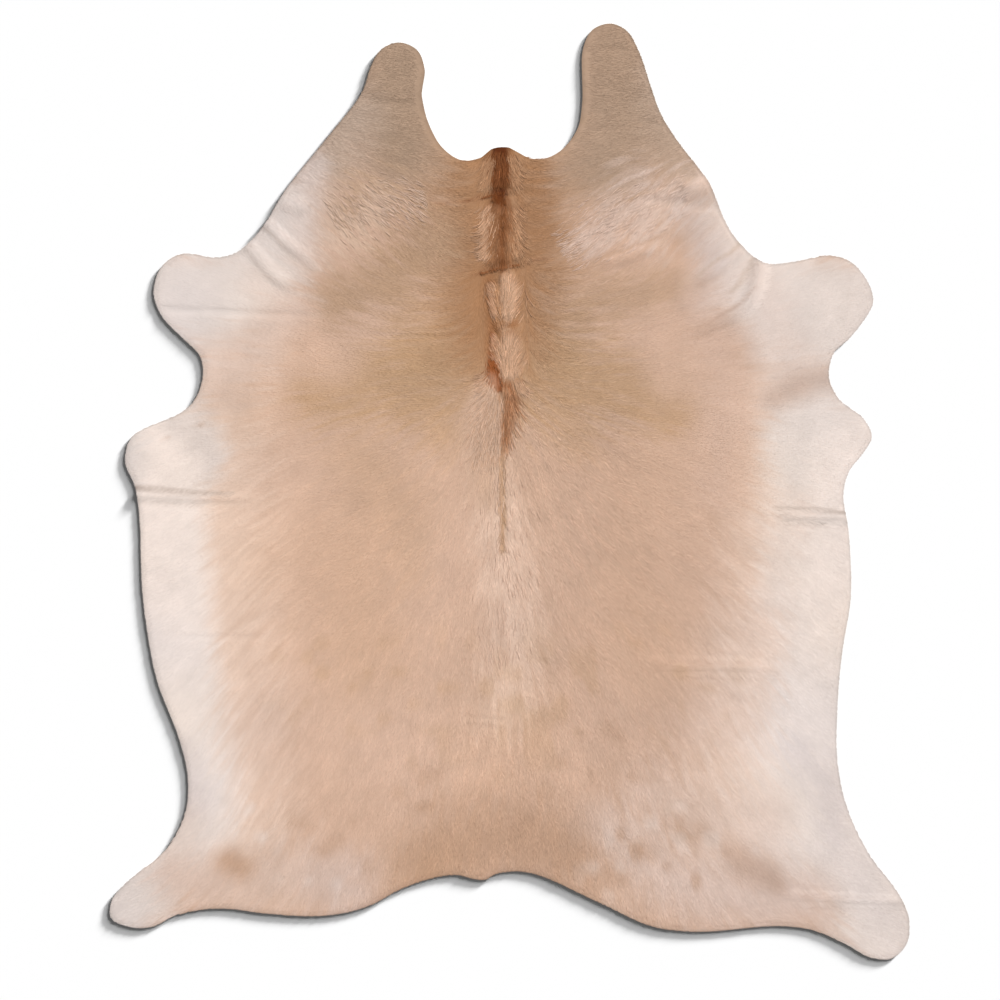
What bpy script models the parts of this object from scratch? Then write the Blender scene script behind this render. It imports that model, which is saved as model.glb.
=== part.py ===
"""A cowhide: one whole hide, tanned with the hair on, lying flat with its hair side up.

It is a single sheet. The edge is a smooth closed curve through a few points on each named
stretch of the outline. Folds, creases and the mane are soft ridges or troughs along short lines.
The neck points along +Y and the coat faces +Z. Every size in the tables is in millimetres, from
the middle of the hide.
"""

from collections import namedtuple
import math

import bmesh
import bpy
from mathutils import Vector
from mathutils.geometry import delaunay_2d_cdt
import numpy as np

MM = 0.001

# Driving sizes
HIDE_LENGTH = 2130.0  # along the spine, cheek flap to hind leg
HIDE_WIDTH = 1820.0  # across, elbow or hind leg to the other side
CUT_EDGE = 3.0  # leather and the first hair over it, at the knife cut
BELLY_SHEET = 4.5  # leather and the thin coat near the edge
BACK_SHEET = 6.0  # leather and the thick coat that lies on the back
EDGE_BEVEL = 9.0  # how far in the coat slopes down to the cut edge
BELLY_REACH = 260.0  # how far in from the edge the coat stays thin
SWELL = 0.5  # how far the coat's top rises and falls between the folds
SWELL_PITCH = (430.0, 370.0)  # across and along
SWELL_REACH = 70.0  # how far in from the edge that begins in full
FADE_IN = 0.25  # share of its line over which a fold rises, where it doesn't start at the edge
FADE_OUT = 0.4  # share of its line over which a fold dies out

# How fine the surface is
CURVE_STEP = 3.0  # between places on the smooth curve of the edge
LINE_STEP = 12.0  # between places on the smooth line of a fold
EDGE_TURN = math.radians(12)  # the mesh gets an edge point each time the curve turns this far
EDGE_STEP = 45.0  # and at least as often as this
FIELD_STEP = 56.0
FOLD_STEP = 30.0
FOLD_ROWS = (-1.0, -0.5, 0.0, 0.5, 1.0)  # rows of points across a fold, in half widths
KEEP_APART = 0.6  # points keep this share of their spacing from those of another row
CLEAR_OF_EDGE = 14.0  # inside the bevel, so that its strip stays even
SHARP_ANGLE = math.radians(40)

# Points on each stretch of the edge, (across, along), anticlockwise from the left cheek
Stretch = namedtuple("Stretch", "name points")
EDGE = (
    Stretch("left cheek flap", ((-208, 1004), (-249, 1022), (-289, 1008), (-312, 975), (-335, 908))),
    Stretch("left cheek", ((-408, 813), (-510, 685), (-567, 594), (-622, 544))),
    Stretch("left foreleg", ((-669, 533), (-744, 542), (-789, 515), (-809, 456), (-792, 402))),
    Stretch("left armpit", ((-744, 351), (-704, 310), (-697, 263), (-717, 208), (-755, 176))),
    Stretch("left elbow", ((-813, 153), (-860, 125), (-874, 68), (-851, 12), (-841, -60))),
    Stretch("left flank", ((-835, -220), (-821, -330), (-801, -428), (-749, -565))),
    Stretch("left hock", ((-731, -650), (-737, -726), (-778, -806), (-875, -888), (-905, -927))),
    Stretch("left hind leg", ((-906, -966), (-864, -986), (-812, -986), (-756, -959))),
    Stretch("left rump", ((-657, -944), (-560, -955), (-424, -961), (-324, -941), (-235, -895))),
    Stretch("tail", ((-128, -868), (-78, -878), (-53, -879), (-33, -867), (12, -860), (58, -866))),
    Stretch("right rump", ((112, -887), (165, -913), (218, -937), (324, -985), (435, -997), (604, -984))),
    Stretch("right hind leg", ((676, -990), (734, -1009), (823, -1056), (872, -1057), (905, -1022))),
    Stretch("right hock", ((909, -963), (881, -903), (818, -820), (765, -704), (746, -600))),
    Stretch("right flank", ((749, -450), (760, -345), (777, -240), (772, -87), (760, -5), (774, 49))),
    Stretch("right elbow", ((801, 83), (825, 126), (805, 169), (752, 210), (727, 262))),
    Stretch("right armpit", ((740, 319), (774, 349), (813, 399), (828, 431), (816, 478))),
    Stretch("right foreleg", ((773, 526), (722, 538), (660, 526), (588, 519), (556, 535))),
    Stretch("right cheek", ((503, 594), (451, 710), (404, 770), (346, 858), (317, 940), (292, 1010))),
    Stretch("right cheek flap", ((268, 1048), (231, 1065), (188, 1050), (166, 1003))),
    Stretch("neck right of the nape", ((165, 891), (155, 828), (124, 783), (85, 760), (48, 759))),
    Stretch("nape", ((22, 772), (-3, 784), (-38, 781), (-67, 760))),
    Stretch("neck left of the nape", ((-108, 755), (-149, 781), (-181, 835), (-197, 900), (-191, 960))),
)

# Folds and creases: half width, how far the leather lifts, how far only the coat rises or sinks,
# whether it starts at the edge at full height, and its line
Fold = namedtuple("Fold", "name half_width lift coat from_edge line")
FOLDS = (
    Fold("mane", 34, 0, 4.5, True, ((-24, 781), (-19, 600), (-15, 515), (-2, 430), (1, 350), (-8, 262), (-18, 190))),
    Fold("mane parting", 9, 0, -3.0, True, ((-24, 781), (-19, 600), (-15, 515))),
    Fold("hollow beside the tufts", 12, 0, -2.4, False, ((-30, 400), (-35, 350), (-38, 290), (-27, 240), (-18, 190))),
    Fold("back parting", 11, 0, -1.8, False, ((-30, 262), (-18, 205), (-16, 101), (-14, -40), (-15, -200))),
    Fold("upper mane crease", 13, 0, -3.0, False, ((-158, 658), (-56, 672), (-6, 681), (110, 672))),
    Fold("lower mane crease", 14, 0, -3.2, False, ((-69, 494), (-33, 508), (22, 517), (60, 527))),
    Fold("left cheek crease", 14, 0, -1.6, True, ((-331, 903), (-301, 885), (-203, 879))),
    Fold("left shoulder swell", 30, 3.0, 0, False, ((-528, 662), (-448, 640))),
    Fold("left shoulder fold", 20, 3.5, 0, True, ((-556, 612), (-494, 555), (-431, 508))),
    Fold("left chest fold", 22, 3.5, 0, True, ((-592, 556), (-562, 520), (-530, 486), (-478, 455))),
    Fold("left foreleg crease", 14, 0, -1.4, True, ((-797, 414), (-510, 401), (-363, 399))),
    Fold("right cheek crease", 14, 0, -1.4, True, ((166, 1001), (297, 1001))),
    Fold("right shoulder swell", 30, 3.5, 0, True, ((462, 690), (376, 692))),
    Fold("right shoulder crease", 15, 0, -2.0, True, ((474, 647), (433, 649), (353, 658), (274, 660))),
    Fold("right inner fold", 20, 3.0, 0, False, ((199, 514), (274, 533), (353, 567))),
    Fold("right upper chest fold", 22, 4.0, 0, True, ((536, 556), (476, 508), (420, 464))),
    Fold("right chest fold", 26, 5.0, 0, True, ((572, 524), (556, 452), (520, 410), (467, 382), (403, 346))),
    Fold("left belly fold", 16, 2.5, 0, True, ((-846, -8), (-760, -13), (-640, -18), (-560, -20))),
    Fold("right belly fold", 16, 2.5, 0, True, ((766, -56), (690, -57), (600, -56))),
    Fold("right loin crease", 22, 2.5, 0, False, ((308, -399), (478, -399), (660, -406))),
    Fold("right hind crease", 16, 2.5, 0, True, ((900, -934), (760, -928), (603, -922))),
)

# Colours in linear light
COAT_COLOUR = (0.59, 0.41, 0.29, 1.0)
FLESH_COLOUR = (0.66, 0.58, 0.48, 1.0)
COAT_ROUGHNESS = 0.62
FLESH_ROUGHNESS = 0.88


def clear_scene():
    for old in list(bpy.data.objects):
        bpy.data.objects.remove(old, do_unlink=True)


def smooth_curve(points, closed, step):
    """A Catmull-Rom curve through points, with a place about every step."""
    points = np.asarray(points, float)
    count = len(points)
    spans = count if closed else count - 1
    curve = []
    for span in range(spans):
        if closed:
            before, start, end, after = (points[(span + k) % count] for k in (-1, 0, 1, 2))
        else:
            before, start, end, after = (points[min(max(span + k, 0), count - 1)] for k in (-1, 0, 1, 2))
        length = np.linalg.norm(end - start)
        # Each tangent leans towards the nearer neighbour, so that uneven spacing makes no loops
        lead = max(math.sqrt(np.linalg.norm(start - before)), 1e-6)
        mid = math.sqrt(length)
        trail = max(math.sqrt(np.linalg.norm(after - end)), 1e-6)
        leave = (start - before) / lead - (end - before) / (lead + mid) + (end - start) / mid
        arrive = (end - start) / mid - (after - start) / (mid + trail) + (after - end) / trail
        if not closed and span == 0:
            leave = (end - start) / mid
        if not closed and span == spans - 1:
            arrive = (end - start) / mid
        places = max(2, math.ceil(length / step))
        for t in np.arange(places) / places:
            a, b = 2 * t**3 - 3 * t**2 + 1, t**3 - 2 * t**2 + t
            c, d = -2 * t**3 + 3 * t**2, t**3 - t**2
            curve.append(a * start + b * mid * leave + c * end + d * mid * arrive)
    if not closed:
        curve.append(points[-1])
    return np.array(curve)


def thin_out(curve, turn, step):
    """Keep a place on the closed curve whenever it has turned or run far enough."""
    ahead = np.roll(curve, -1, axis=0) - curve
    heading = np.arctan2(ahead[:, 1], ahead[:, 0])
    kept = [0]
    turned = run = 0.0
    for i in range(1, len(curve)):
        change = heading[i] - heading[i - 1]
        turned += abs(math.remainder(change, 2 * math.pi))
        run += np.linalg.norm(curve[i] - curve[i - 1])
        if turned >= turn or run >= step:
            kept.append(i)
            turned = run = 0.0
    return curve[kept]


def even_places(line, step):
    """Places about every step along an open line, with the direction there."""
    gaps = np.linalg.norm(np.diff(line, axis=0), axis=1)
    travelled = np.concatenate(([0.0], np.cumsum(gaps)))
    count = max(2, round(travelled[-1] / step) + 1)
    wanted = np.linspace(0, travelled[-1], count)
    places = np.column_stack([np.interp(wanted, travelled, line[:, axis]) for axis in (0, 1)])
    direction = np.gradient(places, axis=0)
    return places, direction / np.linalg.norm(direction, axis=1, keepdims=True)


def nearest_on_line(places, line):
    """For each place, the distance to the line and how far along it, from 0 to 1, that is."""
    starts, ends = line[:-1], line[1:]
    spans = ends - starts
    lengths = np.linalg.norm(spans, axis=1)
    before = np.concatenate(([0.0], np.cumsum(lengths)[:-1]))
    offset = places[:, None, :] - starts[None]
    t = np.clip((offset * spans).sum(2) / np.maximum(lengths, 1e-9) ** 2, 0, 1)
    gap = np.linalg.norm(offset - t[..., None] * spans, axis=2)
    best = gap.argmin(axis=1)
    rows = np.arange(len(places))
    along = (before[best] + t[rows, best] * lengths[best]) / lengths.sum()
    return gap[rows, best], along


def is_inside(places, loop):
    """Which places lie inside the closed loop, by counting the edges a ray crosses."""
    x, y = places[:, :1], places[:, 1:]
    x1, y1 = loop[:, 0], loop[:, 1]
    x2, y2 = np.roll(x1, -1), np.roll(y1, -1)
    straddles = (y1 > y) != (y2 > y)
    rise = np.where(y2 == y1, 1.0, y2 - y1)
    crossing = x1 + (y - y1) * (x2 - x1) / rise
    return (straddles & (x < crossing)).sum(axis=1) % 2 == 1


def ease(value):
    """0 below 0, 1 above 1, and a soft S between."""
    value = np.clip(value, 0, 1)
    return value * value * (3 - 2 * value)


def fold_height(fold, line, places):
    """1 on the crest of a fold, 0 from its half width outwards, fading at its free ends."""
    gap, along = nearest_on_line(places, line)
    crest = (1 - np.clip(gap / fold.half_width, 0, 1) ** 2) ** 2
    fade = ease((1 - along) / FADE_OUT)
    if not fold.from_edge:
        fade = fade * ease(along / FADE_IN)
    return crest * fade


def surface(places, edge, folds):
    """The height of the underside and of the coat's top at each place."""
    from_edge, _ = nearest_on_line(places, np.vstack((edge, edge[:1])))
    sheet = BELLY_SHEET + (BACK_SHEET - BELLY_SHEET) * ease(from_edge / BELLY_REACH)
    sheet = CUT_EDGE + (sheet - CUT_EDGE) * ease(from_edge / EDGE_BEVEL)
    waves = np.sin(2 * math.pi * places / SWELL_PITCH)
    sheet = sheet + SWELL * ease(from_edge / SWELL_REACH) * waves[:, 0] * waves[:, 1]
    lift = np.zeros(len(places))
    coat = np.zeros(len(places))
    for fold, line in folds:
        height = fold_height(fold, line, places)
        lift = np.maximum(lift, fold.lift * height)
        coat = coat + fold.coat * height
    coat = coat * ease(from_edge / EDGE_BEVEL)
    return lift, lift + np.maximum(sheet + coat, CUT_EDGE)


def inset(loop, distance):
    """The closed loop moved inwards. It runs anticlockwise, so inwards is to the left."""
    ahead = np.roll(loop, -1, axis=0) - np.roll(loop, 1, axis=0)
    ahead /= np.linalg.norm(ahead, axis=1, keepdims=True)
    return loop + distance * np.column_stack((-ahead[:, 1], ahead[:, 0]))


def add_apart(chosen, places, apart):
    """Add those places that keep their distance from all that are chosen already."""
    for place in places:
        if np.linalg.norm(np.asarray(chosen) - place, axis=1).min() >= apart:
            chosen.append(place)


def surface_places(edge, folds):
    """Places inside the edge: rows along each fold, and an even field between them."""
    rim = np.vstack((edge, edge[:1]))
    chosen = list(np.vstack((edge, inset(edge, EDGE_BEVEL))))
    row_gap = (FOLD_ROWS[1] - FOLD_ROWS[0]) * KEEP_APART
    for fold, line in folds:
        places, direction = even_places(line, FOLD_STEP)
        sideways = np.column_stack((-direction[:, 1], direction[:, 0]))
        for row in FOLD_ROWS:
            shifted = places + row * fold.half_width * sideways
            clear = nearest_on_line(shifted, rim)[0] > CLEAR_OF_EDGE
            add_apart(chosen, shifted[is_inside(shifted, edge) & clear], row_gap * fold.half_width)
    columns = np.arange(-HIDE_WIDTH / 2, HIDE_WIDTH / 2, FIELD_STEP)
    rows = np.arange(-HIDE_LENGTH / 2, HIDE_LENGTH / 2, FIELD_STEP * math.sqrt(3) / 2)
    field = [(x + (k % 2) * FIELD_STEP / 2, y) for k, y in enumerate(rows) for x in columns]
    field = np.array(field)
    clear = nearest_on_line(field, rim)[0] > KEEP_APART * FIELD_STEP
    add_apart(chosen, field[is_inside(field, edge) & clear], KEEP_APART * FIELD_STEP)
    return np.array(chosen)


def triangulate(places, ring):
    """Triangles over the places inside the ring, whose points are the first ones."""
    loops = [(k, (k + 1) % ring) for k in range(ring)]
    loops += [(ring + k, ring + (k + 1) % ring) for k in range(ring)]
    flat = [Vector(place) for place in places]
    found, _, triangles, sources, _, _ = delaunay_2d_cdt(flat, loops, [range(ring)], 1, 1e-6)
    new_index = {old: new for new, olds in enumerate(sources) for old in olds}
    return np.array(found), triangles, [new_index[k] for k in range(ring)]


def make_material(name, colour, roughness):
    material = bpy.data.materials.new(name)
    material.use_nodes = True
    shader = material.node_tree.nodes["Principled BSDF"]
    shader.inputs["Base Color"].default_value = colour
    shader.inputs["Roughness"].default_value = roughness
    shader.inputs["Metallic"].default_value = 0.0
    material.diffuse_color = colour
    return material


def sheet_mesh(places, triangles, rim, underside, top):
    """A closed sheet: the triangles on top, the same below, and a wall along the rim."""
    sheet = bmesh.new()
    low = [sheet.verts.new((x * MM, y * MM, z * MM)) for (x, y), z in zip(places, underside)]
    high = [sheet.verts.new((x * MM, y * MM, z * MM)) for (x, y), z in zip(places, top)]
    for corners in triangles:
        sheet.faces.new([high[k] for k in corners]).material_index = 0
        sheet.faces.new([low[k] for k in reversed(corners)]).material_index = 1
    for here, there in zip(rim, rim[1:] + rim[:1]):
        sheet.faces.new((low[here], high[here], high[there], low[there])).material_index = 1
    bmesh.ops.recalc_face_normals(sheet, faces=sheet.faces)
    bmesh.ops.triangulate(sheet, faces=[face for face in sheet.faces if len(face.verts) > 3])
    mesh = bpy.data.meshes.new("hide")
    sheet.to_mesh(mesh)
    sheet.free()
    return mesh


def make_hide():
    drawn = smooth_curve([point for stretch in EDGE for point in stretch.points], True, CURVE_STEP)
    drawn = thin_out(drawn, EDGE_TURN, EDGE_STEP)
    low, high = drawn.min(axis=0), drawn.max(axis=0)
    scale = np.array((HIDE_WIDTH, HIDE_LENGTH)) / (high - low)
    middle = (low + high) / 2
    edge = (drawn - middle) * scale
    folds = [(fold, (smooth_curve(fold.line, False, LINE_STEP) - middle) * scale) for fold in FOLDS]

    places = surface_places(edge, folds)
    places, triangles, rim = triangulate(places, len(edge))
    underside, top = surface(places, edge, folds)
    mesh = sheet_mesh(places, triangles, rim, underside, top)
    mesh.materials.append(make_material("hair coat", COAT_COLOUR, COAT_ROUGHNESS))
    mesh.materials.append(make_material("flesh side", FLESH_COLOUR, FLESH_ROUGHNESS))
    mesh.shade_smooth()
    mesh.set_sharp_from_angle(angle=SHARP_ANGLE)
    hide = bpy.data.objects.new("hide", mesh)
    bpy.context.scene.collection.objects.link(hide)
    print(f"hide: {len(edge)} edge points, {len(mesh.polygons)} triangles, top {top.max():.1f} mm")
    return hide


clear_scene()
make_hide()
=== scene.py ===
# %% [markdown]
# # A cowhide with its hair on
# A cowhide rug is one whole skin, tanned with the hair on, trimmed with a knife and laid flat.
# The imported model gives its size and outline. This lesson dresses it: first the camera and the
# light, then a thin leather sheet on the same folds, then a coat of real, combed hair over it.
# Lengths in the tables are in millimetres from the middle of the hide, because hair and folds are
# easier to think of that way. Blender gets them in metres.

# %% Load the frame
from collections import namedtuple
import math

import bpy
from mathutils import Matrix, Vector
from mathutils.geometry import delaunay_2d_cdt
import numpy as np


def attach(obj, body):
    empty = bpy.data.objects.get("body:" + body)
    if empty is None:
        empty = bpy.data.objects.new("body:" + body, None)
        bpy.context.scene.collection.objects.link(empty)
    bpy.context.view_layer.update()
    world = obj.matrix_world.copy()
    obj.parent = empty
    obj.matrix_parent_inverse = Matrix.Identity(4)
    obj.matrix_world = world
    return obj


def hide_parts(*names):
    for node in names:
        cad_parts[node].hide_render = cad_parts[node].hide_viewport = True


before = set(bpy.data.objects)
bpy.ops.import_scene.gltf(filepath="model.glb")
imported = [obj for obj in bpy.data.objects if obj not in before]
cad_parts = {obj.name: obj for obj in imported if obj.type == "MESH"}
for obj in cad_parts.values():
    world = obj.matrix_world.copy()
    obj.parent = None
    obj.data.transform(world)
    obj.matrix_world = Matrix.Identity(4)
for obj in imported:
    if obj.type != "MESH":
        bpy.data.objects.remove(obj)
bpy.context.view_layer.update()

MM = 0.001

# %% [markdown]
# ## Camera
# The hide is seen from straight above, with the neck at the top. A long lens from far away keeps
# the outline free of perspective. A camera without any rotation already looks down with +Y up.

# %% Camera
VIEW_FROM = (-0.0216, -0.0193, 5.37)  # m
LENS, SENSOR = 85.0, 36.0  # mm
camera_data = bpy.data.cameras.new("camera")
camera_data.lens, camera_data.sensor_width = LENS, SENSOR
camera = bpy.data.objects.new("camera", camera_data)
camera.location = VIEW_FROM
bpy.context.scene.collection.objects.link(camera)
bpy.context.scene.camera = camera
print("the camera sees", round(VIEW_FROM[2] * SENSOR / LENS, 3), "m across")

# %% [markdown]
# ## Floor and light
# The floor is plain and nearly white. A wide sun on the upper right stands for a big soft window,
# and a pale sky fills in. A hide is only a few millimetres thick, so a light that models its folds
# gently would leave it almost no shadow. The lamps that light the floor therefore stand lower
# than the one that lights the coat, and light linking tells each lamp what it may light. Of the
# two for the floor, the lower one reaches farther, and together they fade the shadow out evenly.
# The standard view transform is used, so that a colour chosen here arrives in the picture as it is.

# %% Floor and light
FLOOR_HALF = 9.0  # m
FLOOR_COLOUR = (0.90, 0.90, 0.90, 1.0)
SKY_COLOUR, SKY_STRENGTH = (1.0, 1.0, 1.0, 1.0), 0.12
Lamp = namedtuple("Lamp", "name azimuth height spread strength lights_floor")
LAMPS = (  # azimuth, height over the floor and spread are in degrees
    Lamp("low floor lamp", 45, 4.7, 3.2, 22.6, True),
    Lamp("floor lamp", 45, 11, 16, 6.6, True),
    Lamp("coat lamp", 56, 42, 50, 4.36, False),
)

scene = bpy.context.scene
scene.view_settings.view_transform = "Standard"
corners = [(x * FLOOR_HALF, y * FLOOR_HALF, 0.0) for x, y in ((-1, -1), (1, -1), (1, 1), (-1, 1))]
floor_mesh = bpy.data.meshes.new("floor")
floor_mesh.from_pydata(corners, [], [(0, 1, 2, 3)])
floor = bpy.data.objects.new("floor", floor_mesh)
floor_paint = bpy.data.materials.new("plain floor")
floor_paint.use_nodes = True
for socket, value in (("Base Color", FLOOR_COLOUR), ("Roughness", 1.0), ("Specular IOR Level", 0.0)):
    floor_paint.node_tree.nodes["Principled BSDF"].inputs[socket].default_value = value
floor_mesh.materials.append(floor_paint)
scene.collection.objects.link(floor)

for lamp in LAMPS:
    light = bpy.data.lights.new(lamp.name, "SUN")
    light.energy, light.angle = lamp.strength, math.radians(lamp.spread)
    stand = bpy.data.objects.new(lamp.name, light)
    azimuth, height = math.radians(lamp.azimuth), math.radians(lamp.height)
    out = math.cos(height)
    towards = Vector((math.cos(azimuth) * out, math.sin(azimuth) * out, math.sin(height)))
    stand.rotation_euler = towards.to_track_quat("Z", "Y").to_euler()
    scene.collection.objects.link(stand)
    lit = bpy.data.collections.new(lamp.name + " lights")
    lit.objects.link(floor)
    lit.collection_objects[0].light_linking.link_state = "INCLUDE" if lamp.lights_floor else "EXCLUDE"
    stand.light_linking.receiver_collection = lit
    print(lamp.name, "stands", lamp.height, "degrees over the floor")
sky = bpy.data.worlds.new("sky")
sky.use_nodes = True
sky.node_tree.nodes["Background"].inputs["Color"].default_value = SKY_COLOUR
sky.node_tree.nodes["Background"].inputs["Strength"].default_value = SKY_STRENGTH
scene.world = sky

# %% [markdown]
# ## Curves and soft steps
# Folds, brush strokes and the edge are all smooth lines through a few points. A Catmull-Rom curve
# runs through every point that it is given, so a line can be drawn by naming the places it passes.
# The distance to such a line, turned into a soft step, gives a fold's height or a stroke's colour.

# %% Curves and soft steps
def smooth_curve(points, closed, step):
    """A Catmull-Rom curve through points of any number of columns, with a place about every step."""
    points = np.asarray(points, float)
    count = len(points)
    curve = []
    for span in range(count if closed else count - 1):
        near = np.arange(span - 1, span + 3)
        before, start, end, after = points[near % count if closed else np.clip(near, 0, count - 1)]
        leave, arrive = (end - before) / 2, (after - start) / 2
        places = max(2, math.ceil(np.linalg.norm((end - start)[:2]) / step))
        for t in np.arange(places) / places:
            a, b = 2 * t**3 - 3 * t**2 + 1, t**3 - 2 * t**2 + t
            c, d = -2 * t**3 + 3 * t**2, t**3 - t**2
            curve.append(a * start + b * leave + c * end + d * arrive)
    if not closed:
        curve.append(points[-1])
    return np.array(curve)


def nearest_on_line(places, line):
    """For each place, the distance to the line and where on the line that is, in spans from its start."""
    starts, spans = line[:-1, :2], np.diff(line[:, :2], axis=0)
    lengths = np.maximum((spans**2).sum(axis=1), 1e-12)
    best = np.full(len(places), np.inf)
    where = np.zeros(len(places))
    for k, (start, span, length) in enumerate(zip(starts, spans, lengths)):
        offset = places - start
        t = np.clip(offset @ span / length, 0, 1)
        gap = ((offset - t[:, None] * span) ** 2).sum(axis=1)
        nearer = gap < best
        best[nearer], where[nearer] = gap[nearer], k + t[nearer]
    return np.sqrt(best), where


def ease(value):
    """0 below 0, 1 above 1, and a soft S between."""
    value = np.clip(value, 0, 1)
    return value * value * (3 - 2 * value)


print("a quarter of the way, the soft step is at", ease(0.25))

# %% [markdown]
# ## The outline
# The edge is a knife cut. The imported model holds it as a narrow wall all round, so the corners of
# that wall, chained one after another, are the outline. A smooth curve runs through them. The cut
# leather stays a little inside it, because the hair at the edge reaches over the cut.

# %% The outline
CURVE_STEP, RIM_STEP = 2.0, 7.0
SIDEWAYS = 0.5  # a face whose normal leans up or down by less than this is part of the wall
HAIR_OVERHANG = 1.2  # how far the cut leather stays inside the outline of the coat


def wall_loop(node):
    """The corners of a flat solid's side wall, chained into one anticlockwise loop, in mm."""
    mesh = node.data
    place = {v.index: (round(v.co.x / MM, 2), round(v.co.y / MM, 2)) for v in mesh.vertices}
    beside = {}
    for face in mesh.polygons:
        if abs(face.normal.z) < SIDEWAYS:
            ring = [place[k] for k in face.vertices]
            for here, there in zip(ring, ring[1:] + ring[:1]):
                if here != there:
                    beside.setdefault(here, set()).add(there)
                    beside.setdefault(there, set()).add(here)
    loop = [min(beside)]
    while len(loop) < len(beside):
        onward = [other for other in beside[loop[-1]] if other not in loop[-2:] and other != loop[0]]
        if not onward:
            break
        loop.append(onward[0])
    loop = np.array(loop)
    turned = np.roll(loop, -1, axis=0)
    area = (loop[:, 0] * turned[:, 1] - loop[:, 1] * turned[:, 0]).sum() / 2
    return loop if area > 0 else loop[::-1]


def even_loop(curve, step):
    """A closed curve with its places spaced evenly."""
    closed = np.vstack((curve, curve[:1]))
    travelled = np.concatenate(([0.0], np.cumsum(np.linalg.norm(np.diff(closed, axis=0), axis=1))))
    wanted = np.linspace(0, travelled[-1], round(travelled[-1] / step) + 1)[:-1]
    return np.column_stack([np.interp(wanted, travelled, closed[:, axis]) for axis in (0, 1)])


def inset(loop, distance):
    """The anticlockwise loop moved inwards, which is to its left."""
    ahead = np.roll(loop, -1, axis=0) - np.roll(loop, 1, axis=0)
    ahead /= np.linalg.norm(ahead, axis=1, keepdims=True)
    return loop + distance * np.column_stack((-ahead[:, 1], ahead[:, 0]))


outline = even_loop(smooth_curve(wall_loop(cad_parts["hide"]), True, CURVE_STEP), RIM_STEP)
rim = inset(outline, HAIR_OVERHANG)
print("outline:", len(outline), "places,", np.ptp(outline, axis=0).round(1), "mm")

# %% [markdown]
# ## Maps over the hide
# Hair needs to know a lot about its place: how far the edge is, how high the leather, which way
# the coat lies, and its colour. Each of these could be worked out anew for every hair, but with
# hundreds of thousands of them that is slow. So each is worked out once, on an even grid, and a
# hair reads the grid between its four nearest points.

# %% Maps over the hide
GRID_STEP, GRID_MARGIN = 3.0, 8  # the margin round the hide is counted in steps
GRID_LOW = np.floor(outline.min(axis=0) / GRID_STEP) * GRID_STEP - GRID_MARGIN * GRID_STEP
GRID_SHAPE = tuple(np.ceil((outline.max(axis=0) - GRID_LOW) / GRID_STEP).astype(int) + GRID_MARGIN)
GRID_X = GRID_LOW[0] + GRID_STEP * np.arange(GRID_SHAPE[0])
GRID_Y = GRID_LOW[1] + GRID_STEP * np.arange(GRID_SHAPE[1])
GRID = np.stack(np.meshgrid(GRID_X, GRID_Y, indexing="ij"), axis=2)
EDGE_DEPTH = 300.0  # deeper inside than this, the distance from the edge makes no difference
EDGE_LOT = 12  # spans of the edge that are measured together, each lot only near its own stretch


def read(chart, places):
    """The value of a map at any places, blended between the four nearest grid points."""
    cell = (places - GRID_LOW) / GRID_STEP
    cell = np.clip(cell, 0, np.array(GRID_SHAPE) - 1.001)
    low = cell.astype(int)
    part = cell - low
    px, py = (part[:, 0], part[:, 1]) if chart.ndim == 2 else (part[:, :1], part[:, 1:])
    i, j = low[:, 0], low[:, 1]
    near = chart[i, j] * (1 - px) + chart[i + 1, j] * px
    far = chart[i, j + 1] * (1 - px) + chart[i + 1, j + 1] * px
    return near * (1 - py) + far * py


def around(line, reach):
    """The part of the grid that lies within reach of a line, as two slices and its places."""
    low = (line[:, :2].min(axis=0) - reach - GRID_LOW) / GRID_STEP
    high = (line[:, :2].max(axis=0) + reach - GRID_LOW) / GRID_STEP
    low = np.clip(np.floor(low).astype(int), 0, GRID_SHAPE)
    high = np.clip(np.ceil(high).astype(int) + 1, 0, GRID_SHAPE)
    part = (slice(low[0], high[0]), slice(low[1], high[1]))
    return part, GRID[part].reshape(-1, 2)


def is_inside(places, loop):
    """Which places lie inside the closed loop, by counting the edges that a ray crosses."""
    inside = np.zeros(len(places), bool)
    for (x1, y1), (x2, y2) in zip(loop, np.roll(loop, -1, axis=0)):
        if y1 != y2:
            straddles = (y1 > places[:, 1]) != (y2 > places[:, 1])
            inside ^= straddles & (places[:, 0] < x1 + (places[:, 1] - y1) * (x2 - x1) / (y2 - y1))
    return inside


def edge_map(loop):
    """How far inside the edge each grid point lies. Outside it is below 0."""
    far = np.full(GRID_SHAPE, EDGE_DEPTH)
    closed = np.vstack((loop, loop[:1]))
    for start in range(0, len(loop), EDGE_LOT):
        lot = closed[start:start + EDGE_LOT + 1]
        part, places = around(lot, EDGE_DEPTH)
        gap, _ = nearest_on_line(places, lot)
        far[part] = np.minimum(far[part], gap.reshape(far[part].shape))
    return np.where(is_inside(GRID.reshape(-1, 2), loop).reshape(GRID_SHAPE), far, -far)


from_edge = edge_map(outline[::2])
print("grid:", GRID_SHAPE, "deepest point", from_edge.max(), "mm from the edge")

# %% [markdown]
# ## Folds
# Leather this thick folds softly. A fold is a rounded ridge that lifts the whole sheet, and a
# crease is a narrow trough that only the coat falls into. A cloth simulation could make folds,
# but it wouldn't put them where this hide has them, so each is a row in a table: its half width,
# how far the leather lifts, how far the coat rises or sinks, whether it starts at the edge at its
# full height, and the line that it follows.

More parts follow.
